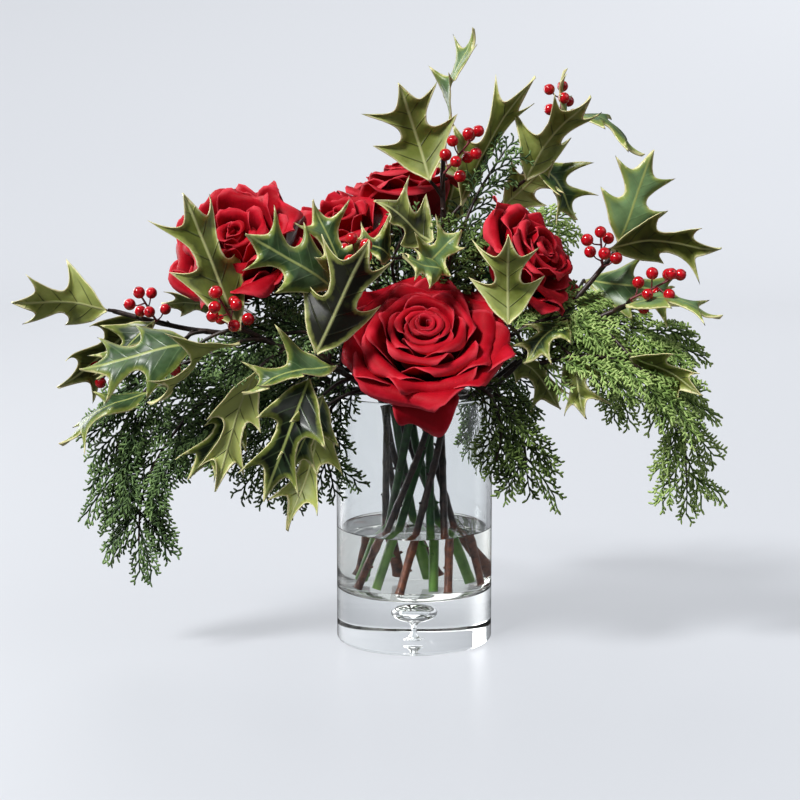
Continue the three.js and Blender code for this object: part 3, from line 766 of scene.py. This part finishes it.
def holly_leaf(base, tip, faces, width, bow, twist, tone, seed):
    """One blade as a bmesh, with its across-and-along map, its margin and its tone."""
    rng = random.Random(seed)
    start, end, facing = above_rim(base), above_rim(tip), Vector(faces).normalized()
    length = (end - start).length
    middle = start.lerp(end, 0.5) + 2 * bow * length * facing
    runs = [len(run) * 2 for run in LEAF_SIDE]
    columns = sum(runs)
    sides = {}
    for side in (-1, 1):
        grown = []
        reach = (rng.uniform(0.9, 1.12), rng.uniform(0.72, 1.05))
        slip = rng.uniform(-0.04, 0.04)
        for part, run in enumerate(LEAF_SIDE):
            for k in range(runs[part] + (part == 2)):
                rib_at, at, out = along_run(run, k / runs[part])
                spine = reach[0] + (reach[1] - reach[0]) * max(0, min(1, (at - 0.5) / 0.3))
                shift = slip * math.sin(math.pi * rib_at)
                half = max(0.3, leaf_fullness * out * (spine if out > 0.35 else 1) * width / 2)
                grown.append((rib_at + shift, at + shift, half, part + k / runs[part]))
        sides[side] = grown
    turns = {side: (rng.uniform(0, 11), rng.uniform(-9, 10)) for side in (-1, 1)}
    fold = rng.uniform(0.2, 0.42)
    arch = rng.choice((-1, 1)) * rng.uniform(0.45, 0.95)  # radians, from midrib to edge
    sway = rng.uniform(0, 2 * math.pi)
    bm = bmesh.new()
    uv = bm.loops.layers.uv.new("blade")
    margin_of = bm.verts.layers.float.new("margin")
    tone_of = bm.verts.layers.float.new("tone")
    bmesh.ops.create_grid(bm, x_segments=columns, y_segments=LEAF_ROWS, size=1, calc_uvs=True)
    flat = {}
    for vert in bm.verts:
        column = round((vert.co.x + 1) / 2 * columns)
        side = 1 if vert.co.y >= 0 else -1
        u = 1 - (1 - abs(vert.co.y)) ** 1.25
        rib_at, at, half, step = sides[side][column]
        share = rib_at + (at - rib_at) * u**1.4
        y = side * u * half
        outline = sides[side][max(0, column - 7) : column + 8]
        gaps = [
            math.hypot((share - at_k) * length / MM, abs(y) - half_k) for _, at_k, half_k, _ in outline
        ]
        flat[vert] = (0.5 + y / width, share)
        vert[margin_of] = 0.0 if u > 0.999 else min(gaps)
        vert[tone_of] = tone
        swing = math.cos(math.pi * (step - 1)) if step > 0.5 else 0.0  # spines up, hollows down
        turn = turns[side][0 if step < 1.5 else 1]
        edge = min(1, abs(y) / (0.5 * width)) ** 1.6
        spiky = max(0, 1 - abs(step - round(step)) / 0.35) if 0.5 < step < 2.5 else 0
        z = fold * abs(y) * (1 - 0.35 * u) + turn * spiky * edge - 2.5 * (1 - spiky) * u * u
        z += 1.4 * u * math.sin(11 * share + 2 * side + 5 * tone) * swing
        z += 2.2 * math.sin(2 * math.pi * share + sway) * min(1, 4 * share)
        turned_by = arch * abs(y) / (0.5 * width)
        if abs(turned_by) > 0.01:
            z += abs(y) * (1 - math.cos(turned_by)) / turned_by
            y *= math.sin(turned_by) / turned_by
        curl = leaf_tip_curl * max(0, (share - 0.8) / 0.2) ** 2
        share = max(0.0, min(1.02, share))
        a, b = start.lerp(middle, share), middle.lerp(end, share)
        tangent = (b - a).normalized()
        across = facing.cross(tangent).normalized()
        normal = tangent.cross(across)
        spin = Matrix.Rotation(math.radians(twist) * (share - 0.3), 3, tangent)
        vert.co = a.lerp(b, share) + spin @ (across * y * MM + normal * (z + curl) * MM)
    for face in bm.faces:
        for loop in face.loops:
            loop[uv].uv = flat[loop.vert]
    inside = [vert for vert in bm.verts if not vert.is_boundary]
    bmesh.ops.smooth_vert(
        bm, verts=inside, factor=0.4, use_axis_x=True, use_axis_y=True, use_axis_z=True
    )
    return bm


for group in (LEAVES, FILLERS):
    for name, shape in group.items():
        bm = holly_leaf(*shape, seed=name)
        nodes = ["holly_leaf_" + name] if group is LEAVES else ()
        leaf = piece("leaf_" + name, bm, [waxy_top, matt_under], nodes)
        wall = leaf.modifiers.new("blade_thickness", "SOLIDIFY")
        wall.thickness = leaf_thickness
        wall.offset = 0
        wall.material_offset = 1
        wall.material_offset_rim = 0

# ---- Berries ------------------------------------------------------------------------------------
# Ripe holly berries, glossy and 9 to 10 mm across, each with a dark scar at its end, on brown-red
# stalks round a short twig.
CLUSTERS = {  # where the twig starts, the way it grows, how many berries
    "berries_top": ((23, -30, 178), (0.6, -0.2, 0.75), 9),
    "berries_top_right": ((119, 42, 220), (0.1, 0.3, 0.95), 6),
    "berries_right_upper": ((146, -50, 106), (-0.1, -0.3, 0.95), 6),
    "berries_right_lower": ((166, -66, 82), (0.85, -0.2, 0.45), 9),
    "berries_centre": ((-48, -70, 98), (0.1, -0.5, 0.85), 6),
    "berries_left": ((-134, -104, 62), (-0.3, -0.6, 0.7), 9),
    "berries_far_left": ((-204, -34, 62), (-0.4, -0.4, 0.8), 6),
}
EXTRA_CLUSTERS = {
    "berries_under_left": ((-186, -64, 46), (-0.2, -0.5, -0.3), 6),
    "berries_low_left": ((-246, -4, 22), (-0.5, 0, -0.8), 3),
    "berries_centre_front": ((-58, -92, 108), (0.7, -0.3, 0.6), 6),
    "berries_back": ((20, 116, 76), (0.1, 0.6, 0.8), 8),
    "berries_back_left": ((-60, 148, 98), (-0.3, 0.3, 0.9), 7),
}
berry_radius = 4.8
berry_spacing = 4.6
berry_reach = 11
golden_angle = math.pi * (3 - math.sqrt(5))


def berry_finish(name, patch, detail, stops, **shader_inputs):
    """A skin of two tones that drift into each other, in patches of that size."""
    made, tree, shader = new_material(name, **shader_inputs)
    place = add(tree, "TexCoord")
    drift = add(
        tree, "TexNoise", {"Vector": place.outputs["Object"], "Scale": 1 / patch, "Detail": detail}
    )
    tone = add(tree, "ValToRGB", {"Fac": drift}, stops)
    tree.links.new(tone.outputs[0], shader.inputs["Base Color"])
    return made


ripe_skin = berry_finish(  # bright red, with one sharp highlight on each berry
    "ripe_berry_skin",
    7 * MM,
    3.0,
    ((0.3, "#a60a16"), (0.7, "#e41626")),
    Roughness=0.16,
    Coat_Weight=0.5,
    Coat_Roughness=0.06,
)
stalk_skin = berry_finish(  # dull wine red
    "berry_stalk_skin", 5 * MM, 3.0, ((0.0, "#3d1014"), (1.0, "#96303a")), Roughness=0.5
)
scar = berry_finish(  # a dry dark dot
    "berry_scar", 0.6 * MM, 2.0, ((0.0, "#120606"), (1.0, "#3c1a14")), Roughness=0.8
)

twig_ends = []  # what the holly branches send a twig to: (place, radius)
for group in (CLUSTERS, EXTRA_CLUSTERS):
    for name, (root, grows, count) in group.items():
        rng = random.Random(name)
        start, axis = above_rim(root), Vector(grows).normalized()
        side = Vector((0, 1, 0)).cross(axis).normalized()
        other = axis.cross(side)
        top = start + axis * (4 + berry_spacing * count) * MM
        lines = [[(start, 1.0), (start.lerp(top, 0.5), 0.9), (top, 0.7)]]
        bm = bmesh.new()
        for k in range(count):
            knee = start + axis * berry_spacing * k * MM
            reach = 0 if k == count - 1 else berry_reach
            turn = golden_angle * k
            out = side * math.cos(turn) + other * math.sin(turn)
            centre = start + axis * (6 + berry_spacing * k) * MM + out * reach * MM
            sag = (knee + centre) / 2 + Vector((0, 0, -1.5 * MM))
            lines.append([(knee, 0.7), (sag, 0.55), (centre, 0.8)])
            stalk_way = (centre - knee).normalized() if reach else axis
            size = berry_radius * rng.uniform(0.93, 1.03) * MM
            aim = stalk_way.to_track_quat("Z", "Y").to_matrix().to_4x4()
            at = Matrix.Translation(centre) @ aim
            bmesh.ops.create_uvsphere(bm, u_segments=20, v_segments=14, radius=size, matrix=at)
            tip_at = at @ Matrix.Translation((0, 0, size * 0.985))
            bud = bmesh.ops.create_cone(
                bm,
                cap_ends=True,
                segments=7,
                radius1=0.9 * MM,
                radius2=0.5 * MM,
                depth=0.6 * MM,
                matrix=tip_at,
            )
            for vert in bud["verts"]:
                for face in vert.link_faces:
                    face.material_index = 1
        first_stalk = len(bm.faces)
        strands(bm, lines, sides=8)
        bm.faces.ensure_lookup_table()
        for face in bm.faces[first_stalk:]:
            face.material_index = 2
        nodes = [name] if group is CLUSTERS else ()
        piece(
            name.replace("berries", "berry_cluster"), bm, [ripe_skin, scar, stalk_skin], nodes
        )
        twig_ends.append((start, 1.0))

for group in (LEAVES, FILLERS):
    for shape in group.values():
        twig_ends.append((above_rim(shape[0]), 1.15))

# ---- Boughs and twigs ---------------------------------------------------------------------------
# The branches above as wood: tapered, swollen at each joint, with buds and the stubs of lost twigs.
# The holly ones grow the thin twigs that hold up the leaves and berries.
twigs = {name: [] for name in wood_routes}
for place_at, radius in twig_ends:
    name, places = twig_to(place_at)
    route = smooth_route(places, 6 * MM)
    twigs[name].append([(p, radius * (1.5 - 0.5 * i / len(route))) for i, p in enumerate(route)])

for name, routes in wood_routes.items():
    rng = random.Random(name)
    lines = []
    for number, route in enumerate(routes):
        radius = wood_radius * (1 if number == 0 else 0.85)
        line = []
        for i, place_at in enumerate(route):
            taper = 1.12 - 0.45 * i / len(route)
            joint = 1 + 0.16 * max(0, math.cos(i * 0.9 + number)) ** 6
            line.append((place_at, radius * taper * joint))
        lines.append(line)
    for i in range(4, len(routes[0]) - 2, 5):  # buds and the stubs of lost side twigs
        route = routes[0]
        along = (route[i + 1] - route[i]).normalized()
        out = square_to(along, rng.uniform(0, 2 * math.pi))
        stub = route[i] + out * wood_radius * 0.7 * MM
        lines.append([(stub, 1.3), (stub + (out + 0.6 * along) * 2.2 * MM, 0.9)])
    bm = bmesh.new()
    strands(bm, lines + twigs[name], sides=10)
    piece(name.replace("branch", "bough"), bm, [bark], [name])

# ---- Cypress sprays -----------------------------------------------------------------------------
# Flat drooping sprays of scaly branchlets that fork and fork again, on a thin brown branch. The
# right side's are young and yellow-green, and the left side's are older and darker.
SPRAYS = {  # the way the flat side looks, a frond's length, tone, route above the rim
    "cypress_spray_left": (
        (-0.3, -0.9, 0.3), 34, "dark",
        [(-100, -42, 24), (-150, -50, 12), (-192, -52, -28), (-216, -48, -76), (-220, -44, -112)],
    ),
    "cypress_spray_left_inner": (
        (0.1, -0.95, 0.2), 32, "dark",
        [(-78, -16, 6), (-100, -14, -10), (-114, -12, -38), (-118, -10, -62)],
    ),
    "cypress_spray_right": (
        (0.2, -0.75, 0.6), 30, "light",
        [(88, -68, 38), (136, -70, 48), (178, -68, 36), (206, -64, -4), (214, -60, -66)],
    ),
    "cypress_spray_right_inner": (
        (0.1, -0.9, 0.4), 26, "olive", [(62, -60, 8), (76, -74, -6), (84, -80, -28), (86, -82, -50)]
    ),
    "cypress_spray_back": (
        (0.2, 0.8, 0.6), 36, "dark", [(36, 100, 38), (56, 146, 34), (74, 170, -10), (80, 176, -60)]
    ),
    "cypress_spray_top": (
        (-0.3, -0.8, 0.5), 26, "light", [(44, 26, 92), (78, 52, 118), (118, 80, 136)]
    ),
}
FILL_SPRAYS = {  # shorter sprays that close the gaps between the flowers
    "cypress_fill_right_high": (
        (0.1, -0.6, 0.8), 32, "light", [(58, -56, 44), (104, -56, 66), (156, -52, 62), (206, -50, 44)]
    ),
    "cypress_fill_right_mid": (
        (0.2, -0.7, 0.7), 30, "light", [(96, -78, 34), (134, -84, 40), (170, -84, 32), (202, -80, 4)]
    ),
    "cypress_fill_right_front": (
        (0.1, -0.8, 0.5), 22, "olive", [(40, -76, 20), (58, -88, 10), (66, -92, -16), (62, -92, -40)]
    ),
    "cypress_fill_left_front": (
        (-0.1, -0.8, 0.6), 32, "dark",
        [(-46, -46, 24), (-90, -62, 26), (-134, -68, 8), (-164, -68, -30)],
    ),
    "cypress_fill_left_high": (
        (-0.1, -0.7, 0.7), 26, "dark", [(-58, -66, 54), (-96, -84, 58), (-136, -88, 46)]
    ),
    "cypress_fill_left_outer": (
        (-0.2, -0.8, 0.5), 30, "dark",
        [(-150, -40, 40), (-200, -44, 20), (-232, -44, -24), (-240, -42, -72)],
    ),
    "cypress_fill_left_rim": (
        (0.0, -0.9, 0.3), 24, "dark", [(-50, -40, 12), (-66, -46, -6), (-72, -48, -34), (-66, -48, -60)]
    ),
    "cypress_fill_left_top": (
        (-0.1, -0.8, 0.5), 24, "dark", [(-36, -26, 58), (-72, -40, 84), (-112, -46, 84)]
    ),
    "cypress_fill_heart": (
        (0.0, -0.9, 0.3), 24, "dark", [(-6, -6, 66), (-18, -14, 104), (-4, -22, 138)]
    ),
    "cypress_fill_heart_right": (
        (0.2, -0.9, 0.3), 22, "olive", [(30, -10, 66), (50, -18, 92), (58, -22, 124)]
    ),
    "cypress_fill_top": (
        (-0.2, -0.9, 0.2), 20, "dark", [(22, -20, 84), (34, -22, 122), (48, -16, 158), (72, -6, 196)]
    ),
    "cypress_fill_centre": (
        (0.1, -0.8, 0.5), 26, "olive", [(10, -30, 70), (24, -44, 96), (30, -52, 128)]
    ),
    "cypress_fill_back_left": (
        (-0.3, 0.8, 0.5), 34, "dark", [(-40, 60, 30), (-84, 92, 40), (-120, 116, 14), (-136, 122, -34)]
    ),
    "cypress_fill_back_right": (
        (0.3, 0.7, 0.6), 34, "light", [(50, 60, 40), (104, 84, 54), (156, 100, 34), (180, 104, -14)]
    ),
    "cypress_fill_back_high": (
        (0, 0.9, 0.4), 28, "dark", [(-10, 60, 60), (-14, 92, 92), (-8, 112, 132)]
    ),
}
branchlet_spacing = 4.2
twiglet_spacing = 3.4
frond_spacing = 11.5 * MM


def scaly_green(name, dark, middle, light):
    """Cypress scale leaves: dark at heart, fresh towards the tips of the branchlets."""
    made, tree, shader = new_material(name, Roughness=0.55, Specular_IOR_Level=0.3)
    place = add(tree, "TexCoord")
    broad = add(
        tree, "TexNoise", {"Vector": place.outputs["Object"], "Scale": 1 / (20 * MM), "Detail": 4.0}
    )
    fresh = add(tree, "Attribute", attribute_name="fresh")
    mixed = add(tree, "Math", {0: broad, 1: 1.1, 2: fresh.outputs["Fac"]}, operation="MULTIPLY_ADD")
    tone = add(tree, "MapRange", {"Value": mixed, "From Min": 0.4, "From Max": 1.6})
    colour = add(tree, "ValToRGB", {"Fac": tone}, ((0.0, dark), (0.55, middle), (1.0, light)))
    scales = add(  # overlapping scale leaves, 1.2 mm long
        tree, "TexVoronoi", {"Vector": place.outputs["Object"], "Scale": 1 / (1.2 * MM)}
    )
    relief = add(
        tree, "Bump", {"Height": scales.outputs["Distance"], "Strength": 0.6, "Distance": 0.35 * MM}
    )
    tree.links.new(colour.outputs[0], shader.inputs["Base Color"])
    tree.links.new(relief.outputs[0], shader.inputs["Normal"])
    return made


GREENS = {
    "dark": scaly_green("old_cypress_scales", "#10190b", "#3d582e", "#8dac69"),
    "olive": scaly_green("shaded_cypress_scales", "#161f09", "#465c26", "#8aa456"),
    "light": scaly_green("young_cypress_scales", "#24340f", "#769648", "#c6dc8a"),
}


def frond(length, rng):
    """A flat frond's branchlets in its own plane: (points with radii, how fresh)."""
    count = max(5, round(length / branchlet_spacing))
    sway = rng.uniform(-2.5, 2.5)
    axis = [(length * i / count, sway * (i / count) ** 2) for i in range(count + 1)]
    lines = [([((x, y, 0), 0.85 - 0.3 * i / count) for i, (x, y) in enumerate(axis)], 0.0)]
    for i in range(1, count + 1):
        side = 1 if i % 2 else -1
        x, y = axis[i]
        reach = min(0.44 * length, 17) * math.sin(math.pi * (0.22 + 0.66 * i / count)) ** 0.7
        reach *= rng.uniform(0.8, 1.12)
        lean = math.radians(rng.uniform(34, 46))
        steps = max(1, round(reach / twiglet_spacing))
        points = []
        for j in range(steps + 1):
            share = j / steps
            points.append(
                (
                    x + math.cos(lean) * reach * share + 0.16 * reach * share * share,
                    y + side * math.sin(lean) * reach * share * (1 - 0.12 * share),
                )
            )
        lines.append(
            ([((px, py, 0), 0.85 - 0.15 * j / steps) for j, (px, py) in enumerate(points)], 0.35)
        )
        for j, (px, py) in enumerate(points):
            for branch in (1, -1):
                if j == 0 or (branch * side < 0 and j % 2):
                    continue
                tip = rng.uniform(3.6, 6.0) * (1.1 - 0.35 * j / steps)
                turn = side * lean * 0.8 + branch * math.radians(rng.uniform(30, 44))
                ex, ey = px + tip * math.cos(turn), py + tip * math.sin(turn)
                mx, my = px + 0.6 * (ex - px), py + 0.6 * (ey - py)
                lift = rng.uniform(-0.8, 0.8)
                lines.append(
                    ([((px, py, 0), 0.7), ((mx, my, lift), 1.0), ((ex, ey, lift * 2), 0.55)], 0.75)
                )
    return lines


def laid(lines, base, way, facing, droop):
    """Puts a frond's lines in place: it starts at base along way, and droops as it goes."""
    across = facing.cross(way).normalized()
    out = way.cross(across).normalized()
    placed = []
    for line, fresh in lines:
        moved = []
        for (x, y, z), radius in line:
            drop = droop * (x / 40) ** 2 * 10
            at = base + MM * (way * x + across * y + out * (z - 0.012 * y * y))
            moved.append((at - Vector((0, 0, drop * MM)), radius))
        placed.append((moved, fresh))
    return placed


def foliage(name, fronds, green, nodes):
    """All of a spray's branchlets as one piece, with how fresh each is."""
    bm = bmesh.new()
    fresh_of = bm.verts.layers.float.new("fresh")
    for level in sorted({fresh for line, fresh in fronds}):
        before = len(bm.verts)
        strands(bm, [line for line, fresh in fronds if fresh == level], sides=4)
        bm.verts.ensure_lookup_table()
        for vert in bm.verts[before:]:
            vert[fresh_of] = level
    piece(name, bm, [green], nodes)


for group in (SPRAYS, FILL_SPRAYS):
    for name, (faces, length, tone, route) in group.items():
        rng = random.Random(name)
        facing = Vector(faces).normalized()
        places = smooth_route([above_rim(p) for p in route], frond_spacing)
        fronds = []
        for i, place_at in enumerate(places[:-1]):
            along = (places[i + 1] - place_at).normalized()
            across = facing.cross(along).normalized()
            share = i / len(places)
            reach = length * (0.7 + 0.5 * math.sin(math.pi * (0.1 + 0.8 * share)))
            for side in (1, -1):
                lean = math.radians(rng.uniform(24, 48))
                way = along * math.cos(lean) + side * across * math.sin(lean)
                way = (way + facing * rng.uniform(-0.3, 0.4)).normalized()
                shake = Vector([rng.uniform(-1, 1) for _ in range(3)])
                tilt = (facing + 0.45 * shake).normalized()
                size = reach * rng.uniform(0.8, 1.15)
                fronds += laid(frond(size, rng), place_at, way, tilt, rng.uniform(0.2, 1.0))
        tip_way = (places[-1] - places[-2]).normalized()
        fronds += laid(frond(length, rng), places[-1] - tip_way * 0.01, tip_way, facing, 0.3)
        nodes = [name] if group is SPRAYS else ()
        foliage(name.replace("spray", "fronds"), fronds, GREENS[tone], nodes)
        bm = bmesh.new()
        strands(bm, [[(p, 1.9 - 1.2 * i / len(places)) for i, p in enumerate(places)]], sides=8)
        piece(name.replace("cypress", "cypress_twig"), bm, [bark])

# ---- Roses --------------------------------------------------------------------------------------
# Open garden roses: velvety crimson petals in a spiral. Those of the heart are rolled round each
# other. The outer ones stand open or hang, with rolled-back lips and waved, pointed edges.
PETAL_COLUMNS = 18
PETAL_ROWS = 18
petal_thickness = 0.45 * MM
hangs_down = 0.5
# extra height of the petals at the back, the way that a low petal hangs from 0 to 1, petals in the
# heart and round it, how wide they are, how ruffled and how far out their lips stand
BLOOMS = {
    "rose_front": (0.1, 0.62, 13, 15, 1.0, 1.0, 1.0),
    "rose_right": (0.1, 0.1, 8, 12, 1.1, 1.4, 1.04),
    "rose_top": (0.15, 0.2, 7, 10, 1.25, 1.3, 1.0),
    "rose_left": (0.6, 0.25, 8, 13, 1.0, 2.2, 0.93),
    "rose_centre": (0.35, 0.2, 6, 9, 1.2, 1.4, 1.0),
}

# painted shade and a painted highlight: each petal darkens towards its base, where petals shade each
# other, and is painted pinker along its rolled lip
velvet_petal, tree, shader = new_material(  # dark in the folds, and pinker where a lip rolls
    "velvet_rose_petal",
    Roughness=0.6,
    Specular_IOR_Level=0.15,
    Sheen_Weight=0.04,
    Sheen_Roughness=0.4,
    Subsurface_Weight=0.05,
    Subsurface_Scale=2 * MM,
)
shader.inputs["Subsurface Radius"].default_value = (1.0, 0.1, 0.08)
shader.inputs["Sheen Tint"].default_value = linear("#ff7d85")
place = add(tree, "TexCoord")
across_along = add(tree, "SeparateXYZ", {"Vector": place.outputs["UV"]})
cloud = add(
    tree, "TexNoise", {"Vector": place.outputs["Object"], "Scale": 1 / (18 * MM), "Detail": 4.0}
)
# painted shade: darker towards the petal's base and lighter towards its lip, in drifting clouds
painted_base_shade = add(tree, "Math", {0: cloud, 1: 0.7, 2: across_along.outputs["Y"]}, operation="MULTIPLY_ADD")
depth = add(tree, "MapRange", {"Value": painted_base_shade, "From Min": 0.4, "From Max": 1.45})
crimson = add(
    tree,
    "ValToRGB",
    {"Fac": depth},
    ((0.0, "#260005"), (0.38, "#7c0010"), (0.8, "#b2041a"), (1.0, "#d82036")),
)
centred = add(tree, "VectorMath", {0: place.outputs["UV"], 1: (0.5, 0.5, 0.0)}, operation="SUBTRACT")
sideways = add(tree, "VectorMath", {0: centred}, operation="ABSOLUTE")
side_of = add(tree, "SeparateXYZ", {"Vector": sideways})
up_of = add(tree, "SeparateXYZ", {"Vector": centred})
outward = add(tree, "Math", {0: side_of.outputs["X"], 1: up_of.outputs["Y"]}, operation="MAXIMUM")
# painted highlight: the rolled lip is painted a lighter pink
painted_lip_highlight = add(  # the rolled lip, a few millimetres wide, is thin and catches the light
    tree,
    "MapRange",
    {"Value": outward, "From Min": 0.43, "From Max": 0.5, "To Min": 0.0, "To Max": 0.75},
)
petal_tone = add(tree, "Mix", {"Factor": painted_lip_highlight, 6: crimson, 7: linear("#ea4a58")}, data_type="RGBA")
fan = add(tree, "Mapping", {"Vector": place.outputs["UV"], "Scale": (60.0, 4.0, 1.0)})
veins = add(tree, "TexNoise", {"Vector": fan, "Scale": 1.0, "Detail": 3.0})
folds = add(tree, "Math", {0: cloud, 1: 3.0, 2: veins}, operation="MULTIPLY_ADD")
crease = add(tree, "Bump", {"Height": folds, "Strength": 0.45, "Distance": 0.5 * MM})
tree.links.new(petal_tone.outputs[2], shader.inputs["Base Color"])
tree.links.new(crease.outputs[0], shader.inputs["Normal"])


def petal(bm, uv, frame_of, turn, openness, size, height, hang, taller, build, rng):
    """Adds one petal. openness runs from 0, rolled in the heart, to 1, wide open."""
    o = openness
    wide, ruffled, spread = build
    belly = size * (0.07 + 0.5 * o**0.9)
    lip = size * (0.07 + 0.86 * o) * (1 + (spread - 1) * o)
    tall = height * (1.0 - 0.4 * o**2) * rng.uniform(0.94, 1.06) * taller
    roll = size * (0.05 + 0.08 * o)
    standing = [
        (0.03 * size, 0),
        (0.8 * belly, 0.18 * tall),
        (belly, 0.5 * tall),
        (0.35 * belly + 0.65 * lip, 0.86 * tall),
        (lip, tall),
        (lip + 0.8 * roll, tall - 0.1 * roll),
        (lip + 1.1 * roll, tall - 0.9 * roll),
    ]
    hanging = [
        (0.03 * size, 0),
        (0.4 * size, 0.2 * height),
        (0.72 * size, 0.34 * height),
        (0.95 * size, 0.22 * height),
        (1.04 * size, -0.05 * height),
        (1.07 * size, -0.3 * height),
        (1.0 * size, -0.5 * height),
    ]
    controls = [
        Vector((a[0] + hang * (b[0] - a[0]), 0, a[1] + hang * (b[1] - a[1])))
        for a, b in zip(standing, hanging)
    ]
    profile = smooth_route(controls, size / 16)
    half_width = size * (0.24 + 0.36 * o) * rng.uniform(0.92, 1.1) * wide
    most_wrap = math.radians(155 - 100 * o)
    flat = 1 + max(0, o - 0.25)
    curl = rng.uniform(0.06, 0.2) * size * o
    wave = ruffled * rng.uniform(1.0, 2.6) * (0.25 + o)
    phase, beats = rng.uniform(0, 6), rng.uniform(4, 7)
    point = rng.choice((0.0, 0.06, 0.14)) * size * max(0, o - 0.3)
    dip = 0.55 + 0.4 * o  # a rolled petal has a level lip, and an open one a round lip
    drift = 0.045 * size * (1 - 0.4 * o)
    seed = Vector((rng.uniform(0, 50), rng.uniform(0, 50), 0))
    made = bmesh.ops.create_grid(
        bm, x_segments=PETAL_COLUMNS, y_segments=PETAL_ROWS, size=1, calc_uvs=True
    )
    verts = made["verts"]
    for face in {face for vert in verts for face in vert.link_faces}:
        for loop in face.loops:
            loop[uv].uv = (loop.vert.co.x / 2 + 0.5, loop.vert.co.y / 2 + 0.5)
    for vert in verts:
        # the square grid is rounded into a disc, which gives the blade its outline
        x = vert.co.x * math.sqrt(1 - vert.co.y**2 / 2)
        y = vert.co.y * math.sqrt(1 - dip * vert.co.x**2 / 2)
        v = (y + 1) / 2
        edge = min(1.0, math.hypot(x, y)) ** 4
        at = min(v, 0.9999) * (len(profile) - 1)
        i = int(at)
        p = profile[i].lerp(profile[i + 1], at - i)
        slope = (profile[i + 1] - profile[i]).normalized()
        inward = Vector((-slope.z, 0, slope.x))
        breadth = 0.5 + 0.75 * min(1, v * 1.6)  # a narrow claw, then wide shoulders
        s = math.copysign(abs(x) ** 0.88, x) * half_width * breadth
        bend_radius = max(p.x, 0.04 * size) * flat
        wrap = max(-most_wrap, min(most_wrap, s / bend_radius))
        across = bend_radius * math.sin(wrap)
        rise = bend_radius * (1 - math.cos(wrap))
        back = curl * abs(x) ** 2.5 * max(0, v - 0.35)
        angle = math.atan2(x, y)
        ruffle = wave * edge * v * math.sin(beats * angle + phase)
        grain = 0.03 * ruffled * size * noise.noise(Vector((x * 1.8, v * 2.6, 0)) + seed) * v
        peak = point * max(0, 1 - abs(x) * 2.8) ** 1.3 * v**8
        closing = Vector((-1, 0, 0)).lerp(inward, o * o)  # rolled round the axis, or cupped
        local = p + closing * rise + inward * (ruffle + grain - back) + slope * (peak + 0.5 * ruffle)
        place_at = Vector((local.x + drift * x, across, local.z))
        place_at.rotate(Matrix.Rotation(turn, 3, "Z"))
        vert.co = frame_of @ (place_at * MM)


for name, azimuth, leans_over, seat, faces, size, height in ROSES:
    rng = random.Random(name)
    axis = Vector(faces).normalized()
    low = Vector((0, -0.3, -1))
    down = (low - axis * low.dot(axis)).normalized()
    turned_to = Matrix((down, axis.cross(down), axis)).transposed().to_4x4()
    frame_of = Matrix.Translation(above_rim(seat)) @ turned_to
    back_height, hang, in_heart, in_bowl, wide, ruffled, spread = BLOOMS[name]
    heart_steps = [0.46 * (k / (in_heart - 1)) ** 1.1 for k in range(in_heart)]
    open_steps = [0.5 + 0.5 * (1 - (1 - k / (in_bowl - 1)) ** 1.5) for k in range(in_bowl)]
    for part, node, steps, first in (
        ("rolled_heart", "heart", heart_steps, 0),
        ("open_petals", "outer_petals", open_steps, in_heart),
    ):
        bm = bmesh.new()
        uv = bm.loops.layers.uv.new("petal")
        for k, openness in enumerate(steps):
            turn = golden_angle * (first + k) + rng.uniform(-0.2, 0.2)
            low_side = (1 + math.cos(turn)) / 2
            hangs = 0.12 * hang * max(0, openness - 0.75) / 0.25 * low_side**3
            shaped = (wide, ruffled, spread * (1 - 0.14 * low_side**3))
            taller = 1 + back_height * (1 - low_side) * (0.3 + 0.7 * openness)
            petal(bm, uv, frame_of, turn, openness, size, height, hangs, taller, shaped, rng)
        if part == "open_petals" and hang >= hangs_down:  # one narrow petal in front
            petal(bm, uv, frame_of, 0.0, 1.0, 0.93 * size, height, hang, 1.0, (0.66, 2.0, 0.95), rng)
        rose = piece(f"{name}_{part}", bm, [velvet_petal], [f"{name}_{node}"])
        wall = rose.modifiers.new("petal_thickness", "SOLIDIFY")
        wall.thickness = petal_thickness
        wall.offset = 0
